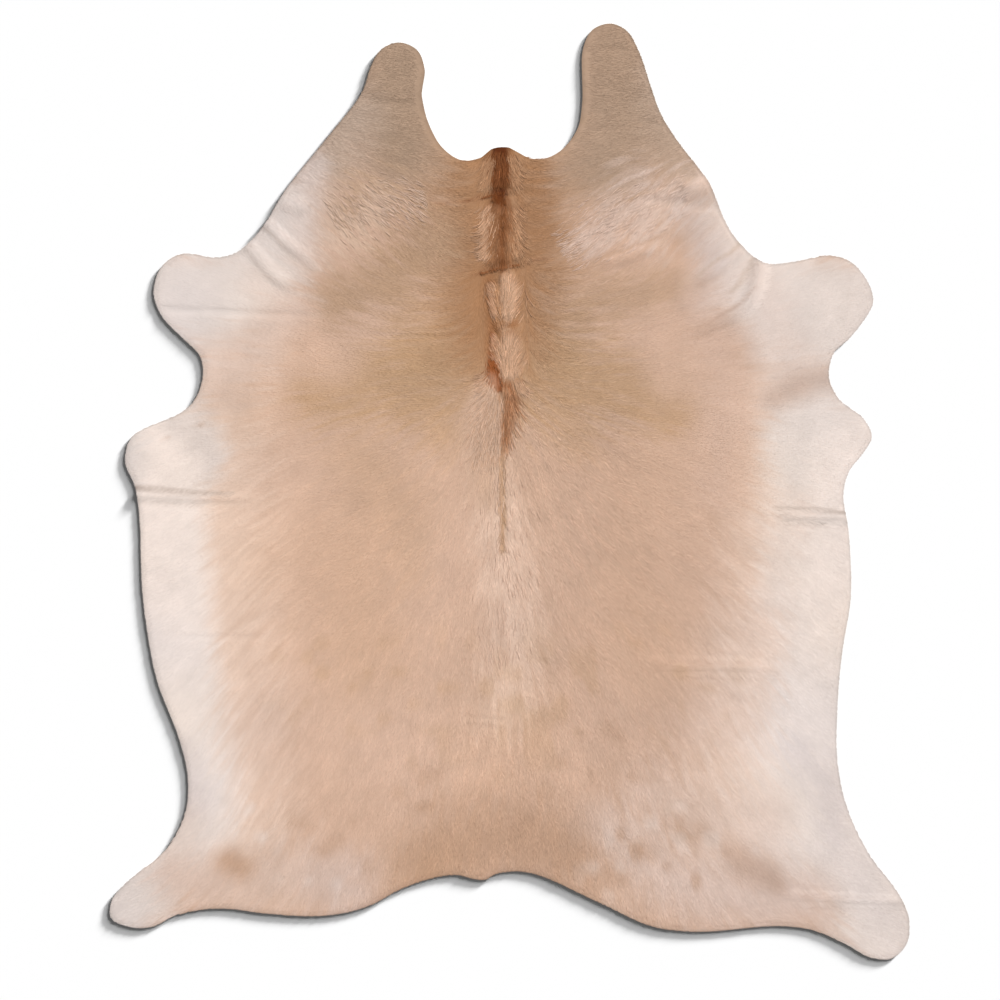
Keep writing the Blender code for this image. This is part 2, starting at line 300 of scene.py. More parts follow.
# %% Folds
Fold = namedtuple("Fold", "name half_width lift coat from_edge line")
FOLDS = [Fold(*row) for row in (
    ("mane", 34, 0, 3.6, True,
     ((-24, 781), (-19, 600), (-15, 515), (-2, 430), (1, 350), (-8, 262), (-18, 190))),
    ("mane parting", 9, 0, -2.0, True, ((-24, 781), (-19, 600), (-15, 515))),
    ("tuft hollow", 12, 0, -2.4, False, ((-30, 400), (-35, 350), (-38, 290), (-27, 240), (-18, 190))),
    ("tuft waist", 14, 0, -1.8, False, ((-60, 372), (-20, 384), (24, 392), (60, 398))),
    ("back parting", 11, 0, -1.8, False, ((-30, 262), (-18, 205), (-16, 101), (-14, -40), (-15, -200))),
    ("upper mane crease", 13, 0, -2.6, False, ((-158, 658), (-56, 672), (-6, 681), (110, 672))),
    ("lower mane crease", 14, 0, -2.8, False, ((-69, 494), (-33, 508), (22, 517), (60, 527))),
    ("left cheek crease", 14, 0, -1.6, True, ((-331, 903), (-301, 885), (-203, 879))),
    ("left shoulder swell", 30, 3.0, 0, False, ((-528, 662), (-448, 640))),
    ("left shoulder fold", 20, 3.5, 0, True, ((-556, 612), (-494, 555), (-431, 508))),
    ("left chest fold", 22, 3.5, 0, True, ((-592, 556), (-562, 520), (-530, 486), (-478, 455))),
    ("left foreleg crease", 14, 0, -1.4, True, ((-797, 414), (-510, 401), (-363, 399))),
    ("right cheek crease", 14, 0, -1.4, True, ((166, 1001), (297, 1001))),
    ("right shoulder swell", 30, 3.5, 0, True, ((462, 690), (376, 692))),
    ("right shoulder crease", 15, 0, -2.0, True, ((474, 647), (433, 649), (353, 658), (274, 660))),
    ("right inner fold", 20, 3.0, 0, False, ((199, 514), (274, 533), (353, 567))),
    ("right upper chest fold", 22, 4.0, 0, True, ((536, 556), (476, 508), (420, 464))),
    ("right chest fold", 26, 5.0, 0, True, ((572, 524), (556, 452), (520, 410), (467, 382), (403, 346))),
    ("left belly fold", 16, 1.8, 0, True, ((-846, -8), (-760, -13), (-640, -18), (-560, -20))),
    ("right belly fold", 16, 2.5, 0, True, ((766, -56), (690, -57), (600, -56))),
    ("right loin crease", 22, 2.5, 0, False, ((308, -399), (478, -399), (660, -406))),
    ("right hind crease", 16, 2.5, 0, True, ((900, -934), (760, -928), (603, -922))),
    # Small wrinkles that only the coat shows
    ("left neck wrinkle", 10, 0, -1.2, False, ((-347, 674), (-310, 655), (-272, 635))),
    ("right cheek wrinkle", 10, 0, -1.0, False, ((297, 840), (365, 829))),
    ("withers wrinkle", 12, 0, -1.0, False, ((-363, 356), (-200, 350), (-56, 345))),
    ("left flank crease", 12, 0, -1.4, True, ((-840, -22), (-710, -28), (-556, -31))),
    ("right flank crease", 12, 0, -1.2, True, ((765, -76), (637, -69), (580, -58))),
    ("small back crease", 10, 0, -1.0, False, ((-119, -519), (-40, -526), (1, -531))),
    ("left loin crease", 12, 0, -0.7, False, ((-806, -333), (-650, -336), (-499, -333))),
)]
FOLD_STEP = 12.0  # between places on a fold's line
FADE_IN, FADE_OUT = 0.25, 0.4  # the shares of its line where a fold rises and fades
CUT_LEATHER = 1.9  # the sheet at the cut edge, without its hair
BELLY_LEATHER = 3.0  # leather and undercoat near the edge
BACK_LEATHER = 4.4  # leather and undercoat on the back
EDGE_BEVEL, BELLY_REACH = 9.0, 260.0  # how far from the edge the cut and the thin belly leather end
SWELL, SWELL_PITCH = 0.5, (430.0, 370.0)  # low, slow waves in the leather
SWELL_REACH = 70.0  # from the edge, where they begin, to their full height


def fold_maps(folds):
    """How far the folds lift the leather, and how far they raise or sink the coat, over the grid."""
    lift, coat = np.zeros(GRID_SHAPE), np.zeros(GRID_SHAPE)
    for fold in folds:
        line = smooth_curve(fold.line, False, FOLD_STEP)
        part, places = around(line, fold.half_width)
        gap, where = nearest_on_line(places, line)
        along = where / (len(line) - 1)
        height = (1 - np.clip(gap / fold.half_width, 0, 1) ** 2) ** 2 * ease((1 - along) / FADE_OUT)
        if not fold.from_edge:
            height = height * ease(along / FADE_IN)
        height = height.reshape(lift[part].shape)
        lift[part] = np.maximum(lift[part], fold.lift * height)
        coat[part] += fold.coat * height
    return lift, coat


lift_map, coat_map = fold_maps(FOLDS)
leather = BELLY_LEATHER + (BACK_LEATHER - BELLY_LEATHER) * ease(from_edge / BELLY_REACH)
leather = CUT_LEATHER + (leather - CUT_LEATHER) * ease(from_edge / EDGE_BEVEL)
waves = np.sin(2 * math.pi * GRID / SWELL_PITCH)
leather = leather + SWELL * ease(from_edge / SWELL_REACH) * waves[..., 0] * waves[..., 1]
leather = np.maximum(leather + coat_map * ease(from_edge / EDGE_BEVEL), CUT_LEATHER)
skin_top = lift_map + leather
print(len(FOLDS), "folds, leather top from", skin_top.min().round(2), "to", skin_top.max().round(2), "mm")

# %% [markdown]
# ## The lie of the hair
# On a living cow the hair lies from the head towards the tail and down the sides, so rain runs
# off. On the flat hide that is outwards from the spine. A table gives the turn away from straight
# down, in degrees, at a few distances from the spine, for a few heights on the hide, and the grid
# blends between them. At the two tufts the hair near the spine turns inwards instead, which the
# table says with numbers below 0. A little soft noise keeps it from looking combed by a machine.

# %% The lie of the hair
SPINE = np.array(((-870, -12), (-500, -20), (-100, -20), (100, -22), (240, -16), (265, -6), (300, -6),
                  (350, -6), (385, -10), (430, -14), (470, -12), (515, -14), (650, -17), (781, -24)), float)
Level = namedtuple("Level", "name y values")  # a height on the hide, and a value for each distance
LIE_AT = (0.0, 16.0, 34.0, 44.0, 46.0, 64.0, 160.0, 350.0, 800.0)  # mm from the spine
LIE = [Level(*row) for row in (
    ("tail", -870, (0, 1, 2, 3, 3, 4, 9, 18, 58)),
    ("rump", -560, (0, 2, 5, 6, 6, 9, 16, 28, 42)),
    ("loin", -300, (0, 3, 7, 9, 9, 12, 26, 40, 52)),
    ("back", -100, (0, 6, 11, 14, 14, 20, 38, 52, 64)),
    ("ribs", 100, (0, 7, 14, 18, 18, 27, 48, 62, 76)),
    ("upper back", 215, (0, 13, 27, 35, 37, 54, 78, 86, 90)),
    ("swirl", 255, (0, 8, 28, 46, 50, 76, 88, 92, 92)),
    ("tuft foot", 280, (0, -14, -36, -14, -6, 54, 88, 94, 94)),
    ("second tuft", 350, (0, -16, -42, -18, -10, 52, 92, 98, 95)),
    ("first tuft", 490, (0, -10, -44, -18, -8, 52, 108, 122, 102)),
    ("mane foot", 515, (0, 13, 25, 32, 34, 86, 124, 136, 108)),
    ("mane", 640, (0, 13, 25, 32, 34, 86, 124, 138, 114)),
    ("nape", 760, (0, 10, 22, 30, 32, 80, 98, 112, 98)),
    ("cheeks", 960, (0, 11, 24, 30, 32, 72, 84, 82, 80)),
)]
LIE_NOISE = ((150, 6, 1), (36, 7, 2))  # pitch in mm, turn in degrees, seed
HILL_HEIGHT = 0.7  # the usual height of a hill of soft noise


def soft_noise(pitch, seed):
    """Smooth random hills of about this pitch over the grid, mostly from -1 to 1."""
    count = tuple(int(GRID_STEP * n / pitch) + 3 for n in GRID_SHAPE)
    rough = np.random.default_rng(seed).normal(0, HILL_HEIGHT, count)
    cell = (GRID - GRID_LOW) / pitch
    low = cell.astype(int)
    part = ease(cell - low)
    i, j = low[..., 0], low[..., 1]
    near = rough[i, j] * (1 - part[..., 0]) + rough[i + 1, j] * part[..., 0]
    far = rough[i, j + 1] * (1 - part[..., 0]) + rough[i + 1, j + 1] * part[..., 0]
    return near * (1 - part[..., 1]) + far * part[..., 1]


def from_levels(levels, stops, across):
    """Blends a table over the grid: up the hide from level to level, and across it from stop to stop."""
    heights = [level.y for level in levels]
    values = np.array([level.values for level in levels], float)
    columns = [np.interp(GRID[..., 1], heights, column) for column in values.T]
    chart = np.where(across < stops[0], columns[0], columns[-1])
    for k in range(len(stops) - 1):
        share = (across - stops[k]) / (stops[k + 1] - stops[k])
        blend = columns[k] + share * (columns[k + 1] - columns[k])
        chart = np.where((share >= 0) & (share <= 1), blend, chart)
    return chart


def lie_map():
    """The direction that the hair lies in, over the grid, as two maps."""
    turn = from_levels(LIE, LIE_AT, np.abs(from_spine))
    for pitch, degrees, seed in LIE_NOISE:
        turn = turn + degrees * soft_noise(pitch, seed)
    turn = np.radians(turn)
    return np.stack((np.sign(from_spine) * np.sin(turn), -np.cos(turn)), axis=2)


from_spine = GRID[..., 0] - np.interp(GRID[..., 1], SPINE[:, 0], SPINE[:, 1])
lie = lie_map()
print("hair lies outwards by", lie[..., 0].min().round(2), "to", lie[..., 0].max().round(2))

# %% [markdown]
# ## Streaks
# Hairs cling together in fine locks, and each lock is a touch lighter or darker than the next.
# Random dots on the grid, smeared along the lie of the hair, turn into such streaks wherever the
# hair points. This is how a picture of a river's flow is drawn too.

# %% Streaks
COMB_STEP = 0.8 * GRID_STEP
FINE_REACH = 22.0
LONG_PITCH, LONG_REACH = 7.0, 60.0
DOTS_SEED, LONG_SEED = 3, 4


def comb(chart, reach):
    """Smears a map along the lie of the hair, this far both ways."""
    steps = max(2, round(reach / COMB_STEP))
    total, weight = chart.copy(), 1.0
    for way in (-1, 1):
        places = GRID.reshape(-1, 2).copy()
        for k in range(steps):
            places = places + way * COMB_STEP * read(lie, places)
            share = 0.5 + 0.5 * math.cos(math.pi * (k + 1) / (steps + 1))
            total = total + share * read(chart, places).reshape(GRID_SHAPE)
            weight += share
    total = total / weight
    return total / total.std()


dots = np.random.default_rng(DOTS_SEED).normal(0, 1, GRID_SHAPE)
fine_streaks = comb(dots, FINE_REACH)
long_streaks = comb(soft_noise(LONG_PITCH, LONG_SEED), LONG_REACH)
print("streaks reach", np.abs(fine_streaks).max().round(1), "times their usual strength")

# %% [markdown]
# ## The tones of the coat
# A hide is warm tan on the back and fades to cream at the belly and legs, with the mane darkest.
# Tones are chosen as they look on a screen. Colours blend as light does only when they are
# linear, so they are turned into that once, here.

# %% The tones of the coat
SCREEN_GAMMA = 2.2
TONES = {  # as they look in daylight, in 0 to 255
    "tan": (210, 175, 152),
    "warm tan": (207, 171, 146),
    "rosy tan": (214, 181, 161),
    "pale tan": (227, 199, 180),
    "fawn": (191, 153, 117),
    "olive fawn": (186, 152, 124),
    "neck brown": (177, 138, 106),
    "deep neck": (168, 123, 88),
    "smoky tan": (175, 147, 124),
    "grey fawn": (192, 168, 149),
    "golden": (199, 165, 136),
    "cream": (238, 222, 212),
    "milk": (230, 216, 208),
    "pearl": (221, 207, 199),
    "oyster": (228, 214, 206),
    "ash": (212, 201, 195),
    "crease shade grey": (180, 162, 150),
    "light tan": (233, 208, 192),
    "blush": (218, 194, 181),
    "rump brown": (188, 152, 127),
    "lilac grey": (205, 193, 192),
    "spot brown": (184, 152, 132),
    "dark umber": (93, 48, 22),
    "walnut": (137, 92, 62),
    "mane brown": (124, 76, 46),
    "russet": (160, 110, 76),
    "rust": (150, 88, 52),
    "tuft shade": (156, 104, 67),
    "tuft tan": (195, 155, 124),
    "blond": (206, 172, 148),
    "hazel": (166, 119, 87),
    "tuft tip": (214, 178, 152),
    "spray tip": (224, 194, 172),
}
LINEAR = {name: (np.array(tone) / 255.0) ** SCREEN_GAMMA for name, tone in TONES.items()}
print(len(TONES), "tones, of which tan is", LINEAR["tan"].round(3), "in linear light")

# %% [markdown]
# ## Brush strokes on the back and neck
# The colour is painted as a dyer would touch up a skin: soft brush strokes, broad ones first, each
# along a line of places with the brush's half width at each. A row gives the stroke's tone, its
# strength, the share of the brush that fades out, and how far it breaks up into streaks of hair.

# %% Brush strokes on the back and neck
Stroke = namedtuple("Stroke", "name tone strength soft streaky line")
BACK = (
    ("left side", "pale tan", 1, 1, 0.05,
     ((-690, 200, 210), (-700, -200, 260), (-690, -500, 260), (-640, -760, 220))),
    ("right side", "light tan", 1, 1, 0.05,
     ((640, 180, 190), (630, -180, 210), (590, -480, 260), (570, -740, 260))),
    ("left ribs", "warm tan", 1, 1, 0.05, ((-350, 70, 160), (-340, -100, 190), (-330, -420, 160))),
    ("left inner ribs", "fawn", 0.22, 1, 0.05, ((-340, 80, 120), (-240, -40, 130), (-220, -180, 90))),
    ("right ribs", "warm tan", 0.8, 1, 0.05, ((270, 80, 230), (270, -160, 190), (330, -420, 150))),
    ("spine light", "pale tan", 0.6, 1, 0.1,
     ((-60, 90, 60), (-20, -60, 100), (10, -300, 110), (0, -480, 120))),
    ("left loin", "rosy tan", 0.4, 1, 0.05, ((-300, -560, 200), (-180, -700, 140))),
    ("withers", "fawn", 0.8, 1, 0.1,
     ((-440, 210, 100), (-240, 270, 170), (-22, 310, 230), (190, 260, 170), (370, 190, 100))),
    ("left withers", "fawn", 0.5, 1, 0.1, ((-200, 330, 150), (-190, 190, 150), (-150, 120, 80))),
    ("right withers", "fawn", 0.45, 1, 0.1, ((120, 330, 120), (110, 200, 150), (160, 120, 90))),
)
NECK = (
    ("neck", "neck brown", 1, 0.9, 0.06,
     ((-35, 830, 290), (-35, 640, 320), (-25, 480, 310), (-25, 350, 220))),
    ("middle of the neck", "deep neck", 1, 1, 0.06,
     ((-25, 800, 130), (-25, 640, 190), (-25, 480, 220), (-25, 380, 170))),
    ("right of the nape", "deep neck", 0.5, 1, 0.06, ((60, 780, 60), (70, 640, 60), (70, 560, 50))),
    ("left cheek", "smoky tan", 1, 0.9, 0, ((-245, 1020, 190), (-255, 900, 190), (-250, 780, 150))),
    ("right cheek", "smoky tan", 0.9, 0.9, 0, ((240, 1060, 200), (250, 900, 220), (220, 760, 170))),
    ("right jaw", "grey fawn", 0.8, 1, 0.05, ((420, 740, 120), (370, 830, 120), (340, 930, 80))),
    ("right jaw shade", "smoky tan", 0.35, 1, 0.05, ((300, 860, 110), (350, 750, 120))),
    ("left jaw shade", "grey fawn", 0.4, 1, 0.05, ((-470, 760, 110), (-480, 640, 100))),
    ("left jaw", "grey fawn", 0.9, 1, 0.05, ((-410, 760, 140), (-350, 850, 110))),
    ("left olive shade", "olive fawn", 0.9, 1, 0.15,
     ((-400, 430, 110), (-270, 480, 130), (-180, 560, 110))),
    ("right olive shade", "olive fawn", 0.7, 1, 0.15, ((180, 420, 90), (300, 450, 90), (370, 470, 70))),
    ("left neck pale", "golden", 0.75, 0.9, 0.3, ((-420, 590, 90), (-350, 640, 110), (-290, 690, 70))),
    ("left neck rose", "pale tan", 0.45, 1, 0.25, ((-440, 540, 60), (-350, 590, 60), (-300, 660, 50))),
    ("right neck pale", "blush", 0.66, 1, 0.25,
     ((180, 565, 50), (240, 605, 85), (330, 640, 100), (430, 690, 80))),
    ("right neck streaks", "blush", 0.36, 1, 0.25, ((210, 650, 50), (290, 700, 80), (330, 560, 60))),
)
print(len(BACK), "strokes on the back and", len(NECK), "on the neck")

# %% [markdown]
# ## Brush strokes on the legs, belly and rump
# The hair gets short and pale towards the belly and down the legs. The rump is a little browner
# again, and it has a few soft spots.

# %% Brush strokes on the legs, belly and rump
LEGS_AND_BELLY = (
    ("left foreleg", "oyster", 1, 0.7, 0.06,
     ((-820, 440, 190), (-660, 450, 180), (-540, 530, 130), (-490, 640, 80))),
    ("left shoulder edge", "pearl", 0.85, 1, 0.06, ((-620, 560, 90), (-500, 660, 80), (-440, 740, 50))),
    ("left shoulder blush", "blush", 0.5, 1, 0.06, ((-450, 760, 60), (-440, 650, 90), (-470, 540, 90))),
    ("left chest", "blush", 0.7, 1, 0.08, ((-660, 260, 130), (-560, 330, 120), (-490, 410, 90))),
    ("left chest side", "tan", 0.7, 1, 0.08, ((-460, 330, 100), (-400, 290, 100))),
    ("right foreleg", "milk", 0.95, 0.7, 0.06,
     ((860, 430, 200), (700, 410, 200), (580, 480, 170), (500, 630, 90))),
    ("right shoulder blush", "blush", 0.6, 1, 0.06, ((430, 680, 70), (460, 560, 90), (450, 440, 90))),
    ("right shoulder mist", "lilac grey", 0.4, 1, 0.06, ((390, 650, 60), (430, 590, 80), (470, 530, 70))),
    ("right arm edge", "ash", 0.5, 1, 0.06, ((710, 235, 60), (760, 180, 70))),
    ("right foot", "oyster", 0.45, 1, 0.06, ((600, 300, 110), (690, 240, 120))),
    ("right foreleg blush", "blush", 0.4, 1, 0.06,
     ((560, 500, 80), (600, 400, 90), (640, 300, 90), (620, 210, 80))),
    ("left foreleg blush", "blush", 0.35, 1, 0.06, ((-570, 480, 70), (-540, 400, 90), (-560, 330, 70))),
    ("right chest", "tan", 0.8, 1, 0.08, ((350, 340, 100), (370, 250, 100))),
    ("right armpit side", "rosy tan", 0.9, 1, 0.08, ((480, 330, 100), (500, 180, 110), (490, 20, 110))),
    ("left elbow", "pearl", 0.9, 0.5, 0.06, ((-860, 60, 190), (-740, 90, 130))),
    ("left elbow shade", "ash", 0.45, 1, 0.06, ((-870, 90, 80), (-800, 120, 90))),
    ("right elbow", "oyster", 1, 0.5, 0.06, ((860, 60, 200), (700, 100, 150))),
    ("right belly", "oyster", 0.6, 1, 0.06, ((650, 150, 120), (630, -100, 100), (610, -250, 80))),
    ("left cream", "cream", 1, 0.35, 0.05, ((-860, 0, 195), (-850, -200, 205), (-840, -420, 205))),
    ("left edge", "ash", 0.9, 1, 0.05,
     ((-890, 190, 90), (-900, 60, 100), (-910, -60, 80), (-910, -240, 70), (-900, -400, 80))),
    ("left flank", "milk", 1, 0.6, 0.05,
     ((-820, -440, 200), (-790, -600, 210), (-760, -740, 190), (-830, -860, 150))),
    ("left hind leg", "pearl", 1, 0.8, 0.05, ((-900, -950, 160), (-830, -910, 110))),
    ("right cream", "cream", 1, 0.4, 0.05,
     ((860, 0, 225), (830, -200, 240), (810, -380, 240), (800, -560, 240))),
    ("right flank", "milk", 1, 0.7, 0.05, ((800, -540, 280), (770, -720, 300), (850, -860, 220))),
    ("right hind leg", "oyster", 1, 0.8, 0.05, ((850, -1000, 190), (840, -900, 130))),
)
RUMP = (
    ("left haunch", "blush", 0.85, 1, 0.06,
     ((-760, -880, 100), (-620, -890, 130), (-480, -880, 130), (-360, -890, 110))),
    ("left haunch shade", "spot brown", 0.28, 1, 0.06,
     ((-740, -740, 100), (-750, -870, 120), (-620, -900, 110), (-480, -890, 110), (-330, -890, 110))),
    ("right haunch", "blush", 0.8, 1, 0.06,
     ((230, -780, 130), (380, -880, 150), (560, -930, 150), (680, -930, 120))),
    ("right hip", "blush", 0.6, 1, 0.06, ((320, -680, 110), (470, -740, 130), (580, -740, 110))),
    ("tail", "rump brown", 0.9, 1, 0.08, ((-180, -840, 130), (-40, -790, 200), (130, -840, 160))),
    ("left side of the tail", "rump brown", 0.5, 1, 0.05, ((-290, -960, 70), (-200, -880, 90))),
)
SPOTS = (
    ("left hind spot", "rump brown", 0.85, 1, 0.05, ((-640, -842, 60), (-612, -850, 60))),
    ("right hind spot", "spot brown", 0.65, 1, 0.05, ((530, -840, 64), (580, -870, 66), (610, -895, 40))),
    ("left armpit", "spot brown", 0.3, 1, 0.08, ((-700, 205, 48), (-650, 222, 52), (-600, 200, 42))),
    ("right armpit", "spot brown", 0.5, 1, 0.08, ((610, 215, 50), (660, 240, 60), (708, 258, 50))),
    ("left arm edge", "oyster", 0.8, 1, 0.08, ((-740, 300, 60), (-740, 210, 80))),
    ("first mottle", "rump brown", 0.6, 1, 0.1, ((-420, -815, 34), (-390, -790, 28))),
    ("second mottle", "rump brown", 0.45, 1, 0.1, ((-190, -650, 36), (-160, -640, 26))),
    ("third mottle", "rump brown", 0.5, 1, 0.1, ((225, -540, 36), (250, -560, 28))),
    ("fourth mottle", "rump brown", 0.5, 1, 0.1, ((290, -805, 36), (320, -825, 30))),
    ("fifth mottle", "rump brown", 0.45, 1, 0.1, ((430, -765, 34), (455, -790, 28))),
    ("sixth mottle", "rump brown", 0.5, 1, 0.1, ((230, -870, 40), (260, -885, 30))),
    ("left flank tint", "lilac grey", 0.4, 1, 0.1, ((-750, -590, 60), (-710, -690, 70))),
    ("right flank tint", "lilac grey", 0.35, 1, 0.1, ((650, -590, 60), (720, -680, 80), (740, -780, 50))),
    ("right hind tint", "lilac grey", 0.25, 1, 0.06,
     ((760, -620, 90), (750, -760, 120), (800, -860, 110), (850, -960, 90))),
    ("left elbow fleck", "rump brown", 0.5, 1, 0, ((-706, 150, 9), (-701, 152, 9))),
    ("left elbow second fleck", "rump brown", 0.5, 1, 0, ((-782, 121, 8), (-778, 122, 8))),
)
print(len(LEGS_AND_BELLY + RUMP + SPOTS), "strokes on the legs, belly and rump")

# %% [markdown]
# ## Shade in the creases and under the mane
# The creases get painted shade: thin lines of a greyer or browner tone, where hair that dips into
# a crease would show its shaded side. The mane's strands don't cover all of the coat, so the
# ground below them is painted in their tones, and its two creases get painted shade too.

# %% Shade in the creases and under the mane
# painted shade: each row is a thin darker line along a crease or fold
CREASE_SHADE_LINES = (
    ("upper left belly line", "crease shade grey", 1, 1, 0,
     ((-850, 8, 10), (-780, 2, 10), (-715, -3, 8), (-630, -6, 5))),
    ("lower left belly line", "crease shade grey", 0.7, 1, 0, ((-842, -24, 4), (-750, -27, 5), (-694, -31, 4))),
    ("upper right belly line", "crease shade grey", 0.8, 1, 0,
     ((766, -48, 8), (716, -43, 8), (663, -40, 5), (604, -37, 3))),
    ("lower right belly line", "crease shade grey", 0.6, 1, 0, ((716, -75, 5), (663, -74, 5), (617, -71, 3))),
    ("left shoulder line", "grey fawn", 0.3, 1, 0,
     ((-561, 599, 5), (-537, 583, 6), (-508, 547, 6), (-483, 513, 6), (-435, 501, 4))),
    ("left chest line", "grey fawn", 0.12, 1, 0,
     ((-599, 553, 6), (-581, 524, 7), (-560, 494, 8), (-533, 474, 6))),
    ("right shoulder line", "grey fawn", 0.55, 1, 0,
     ((523, 565, 10), (503, 543, 9), (467, 524, 7), (421, 483, 4))),
    ("right chest line", "grey fawn", 0.6, 1, 0, ((553, 528, 6), (526, 476, 9), (503, 453, 7))),
    ("lower right chest line", "spot brown", 0.5, 1, 0,
     ((560, 467, 4), (524, 426, 7), (485, 403, 7), (467, 392, 4))),
    ("right neck upper line", "fawn", 0.6, 1, 0, ((264, 658, 4), (301, 676, 6), (333, 683, 4))),
    ("right neck middle line", "grey fawn", 0.6, 1, 0, ((315, 653, 4), (362, 651, 6), (412, 651, 4))),
    ("right neck lower line", "rump brown", 0.8, 1, 0,
     ((194, 522, 5), (226, 538, 7), (287, 558, 6), (358, 588, 4))),
)
MANE_GROUND = (
    ("mane", "walnut", 0.9, 0.8, 0.15, ((-24, 800, 46), (-22, 690, 40), (-20, 600, 36), (-18, 520, 30))),
    ("nape", "dark umber", 1, 0.6, 0.12, ((-24, 800, 26), (-22, 700, 23), (-20, 680, 19))),
    # painted shade: the strokes of the first crease darken the mane where it dips
    ("first crease", "dark umber", 1, 0.7, 0, ((-30, 677, 15), (-24, 660, 14), (-14, 642, 7))),
    ("line of the first crease", "mane brown", 0.9, 1, 0,
     ((-104, 659, 4), (-68, 667, 5), (-44, 675, 7), (-28, 680, 9))),
    ("end of the first crease", "hazel", 0.6, 1, 0, ((-170, 654, 4), (-104, 659, 5))),
    ("parting", "mane brown", 0.85, 1, 0.1, ((-16, 650, 14), (-18, 560, 13), (-18, 500, 12))),
    # painted shade: the strokes of the second crease darken the mane where it dips
    ("second crease", "mane brown", 1, 1, 0,
     ((-74, 494, 5), (-44, 503, 9), (-26, 509, 10), (-6, 513, 9), (28, 519, 6))),
    ("end of the second crease", "hazel", 0.8, 1, 0, ((20, 518, 6), (62, 527, 5), (90, 530, 3))),
    ("beside the tufts", "tuft shade", 0.7, 1, 0.05,
     ((-46, 480, 22), (-42, 430, 26), (-38, 380, 28), (-40, 320, 24))),
    ("first tuft", "tuft tan", 0.9, 0.7, 0.12, ((-4, 490, 18), (0, 455, 32), (-2, 420, 30), (-4, 395, 18))),
    ("waist", "tuft shade", 0.75, 1, 0, ((-36, 372, 16), (-10, 376, 18), (16, 384, 12))),
    ("second tuft", "tuft tan", 1, 0.6, 0.1, ((-8, 362, 16), (4, 330, 36), (4, 290, 36), (2, 262, 20))),
    ("swirl", "rust", 1, 0.9, 0, ((-42, 310, 12), (-36, 278, 25), (-30, 252, 20), (-22, 232, 10))),
    ("left spray", "blond", 0.9, 0.8, 0.15,
     ((-44, 246, 30), (-60, 210, 50), (-64, 150, 60), (-60, 80, 64), (-50, 0, 60))),
    ("right lens", "russet", 1, 0.8, 0.12,
     ((-10, 250, 12), (4, 215, 28), (0, 180, 28), (-8, 140, 20), (-14, 90, 9))),
    ("back parting", "golden", 0.8, 1, 0, ((-16, 100, 12), (-16, 40, 10), (-14, -60, 9), (-16, -140, 7))),
    ("back mark", "fawn", 0.7, 1, 0, ((-12, -42, 10), (-11, -78, 9))),
)
print(len(CREASE_SHADE_LINES), "lines of shade and", len(MANE_GROUND), "strokes under the mane")

# %% [markdown]
# ## Painting the coat
# The strokes are painted over plain tan, one after another. Then come mottles, strokes that show
# only where a soft noise is high, then clouds of a lighter or darker coat, and a drift between
# rose and straw. At the very edge the coat is painted darker, a painted shade line along the cut.

# %% Painting the coat
STROKES = [Stroke(*row) for row in BACK + NECK + LEGS_AND_BELLY + RUMP + SPOTS + CREASE_SHADE_LINES + MANE_GROUND]
STROKE_STEP = 20.0  # between places on a stroke's line
DARK_MOTTLES = [Stroke(*row) for row in (
    ("left mottles", "rump brown", 0.6, 1, 0, ((-480, -800, 120), (-330, -800, 150), (-200, -700, 130))),
    ("right mottles", "rump brown", 0.75, 1, 0, ((180, -620, 130), (290, -760, 160), (430, -850, 150))),
    ("tail mottles", "rump brown", 0.6, 1, 0, ((-150, -780, 120), (130, -760, 130))),
    ("loin mottles", "fawn", 0.3, 1, 0, ((-420, -420, 220), (0, -480, 260), (420, -420, 220))),
)]
PALE_MOTTLES = [Stroke(*row) for row in (
    ("left pale mottles", "milk", 0.5, 1, 0, ((-560, -760, 120), (-400, -860, 130))),
    ("right pale mottles", "milk", 0.4, 1, 0, ((240, -860, 130), (420, -760, 140), (560, -780, 120))),
)]
MOTTLE_PITCH = 34.0
MOTTLE_FROM, MOTTLE_SPAN = 0.2, 0.6  # mottles show where the noise is above this, in full this much higher
CLOUDS = ((150.0, 0.024, 5), (64.0, 0.024, 6), (26.0, 0.024, 7), (12.0, 0.016, 8))  # pitch, strength, seed
TINT, TINT_PITCH, TINT_SEED = (0.012, 0.0, -0.022), 190.0, 8
RIM_PAINTED_SHADE, RIM_REACH = 0.34, 3.8


def paint(colour, strokes, pattern=None):
    """Paints strokes over the coat's colour, in linear light. A pattern lets them through in part."""
    for stroke in strokes:
        line = smooth_curve(stroke.line, False, STROKE_STEP)
        part, places = around(line, line[:, 2].max())
        gap, where = nearest_on_line(places, line)
        half = np.interp(where, np.arange(len(line)), line[:, 2])
        mask = (1 - gap / half) / stroke.soft
        mask = mask.reshape(colour[part].shape[:2])
        if stroke.streaky:
            mask = mask + stroke.streaky * (fine_streaks[part] + long_streaks[part]) * (mask > 0)
        mask = (stroke.strength * ease(mask))[..., None]
        if pattern is not None:
            mask = mask * pattern[part][..., None]
        colour[part] = colour[part] * (1 - mask) + LINEAR[stroke.tone] * mask


coat_colour = np.broadcast_to(LINEAR["tan"], GRID_SHAPE + (3,)).copy()
paint(coat_colour, STROKES)
for mottles, seed in ((DARK_MOTTLES, 21), (PALE_MOTTLES, 22)):
    paint(coat_colour, mottles, ease((soft_noise(MOTTLE_PITCH, seed) - MOTTLE_FROM) / MOTTLE_SPAN))
for pitch, strength, seed in CLOUDS:
    coat_colour *= 1 + strength * soft_noise(pitch, seed)[..., None]
coat_colour *= 1 + soft_noise(TINT_PITCH, TINT_SEED)[..., None] * np.array(TINT)
# painted shade: the coat darkens within a few millimetres of the edge
coat_colour *= 1 - RIM_PAINTED_SHADE * ease(1 - from_edge / RIM_REACH)[..., None]
print(len(STROKES), "strokes, mean colour", coat_colour[from_edge > 0].mean(axis=0).round(3))

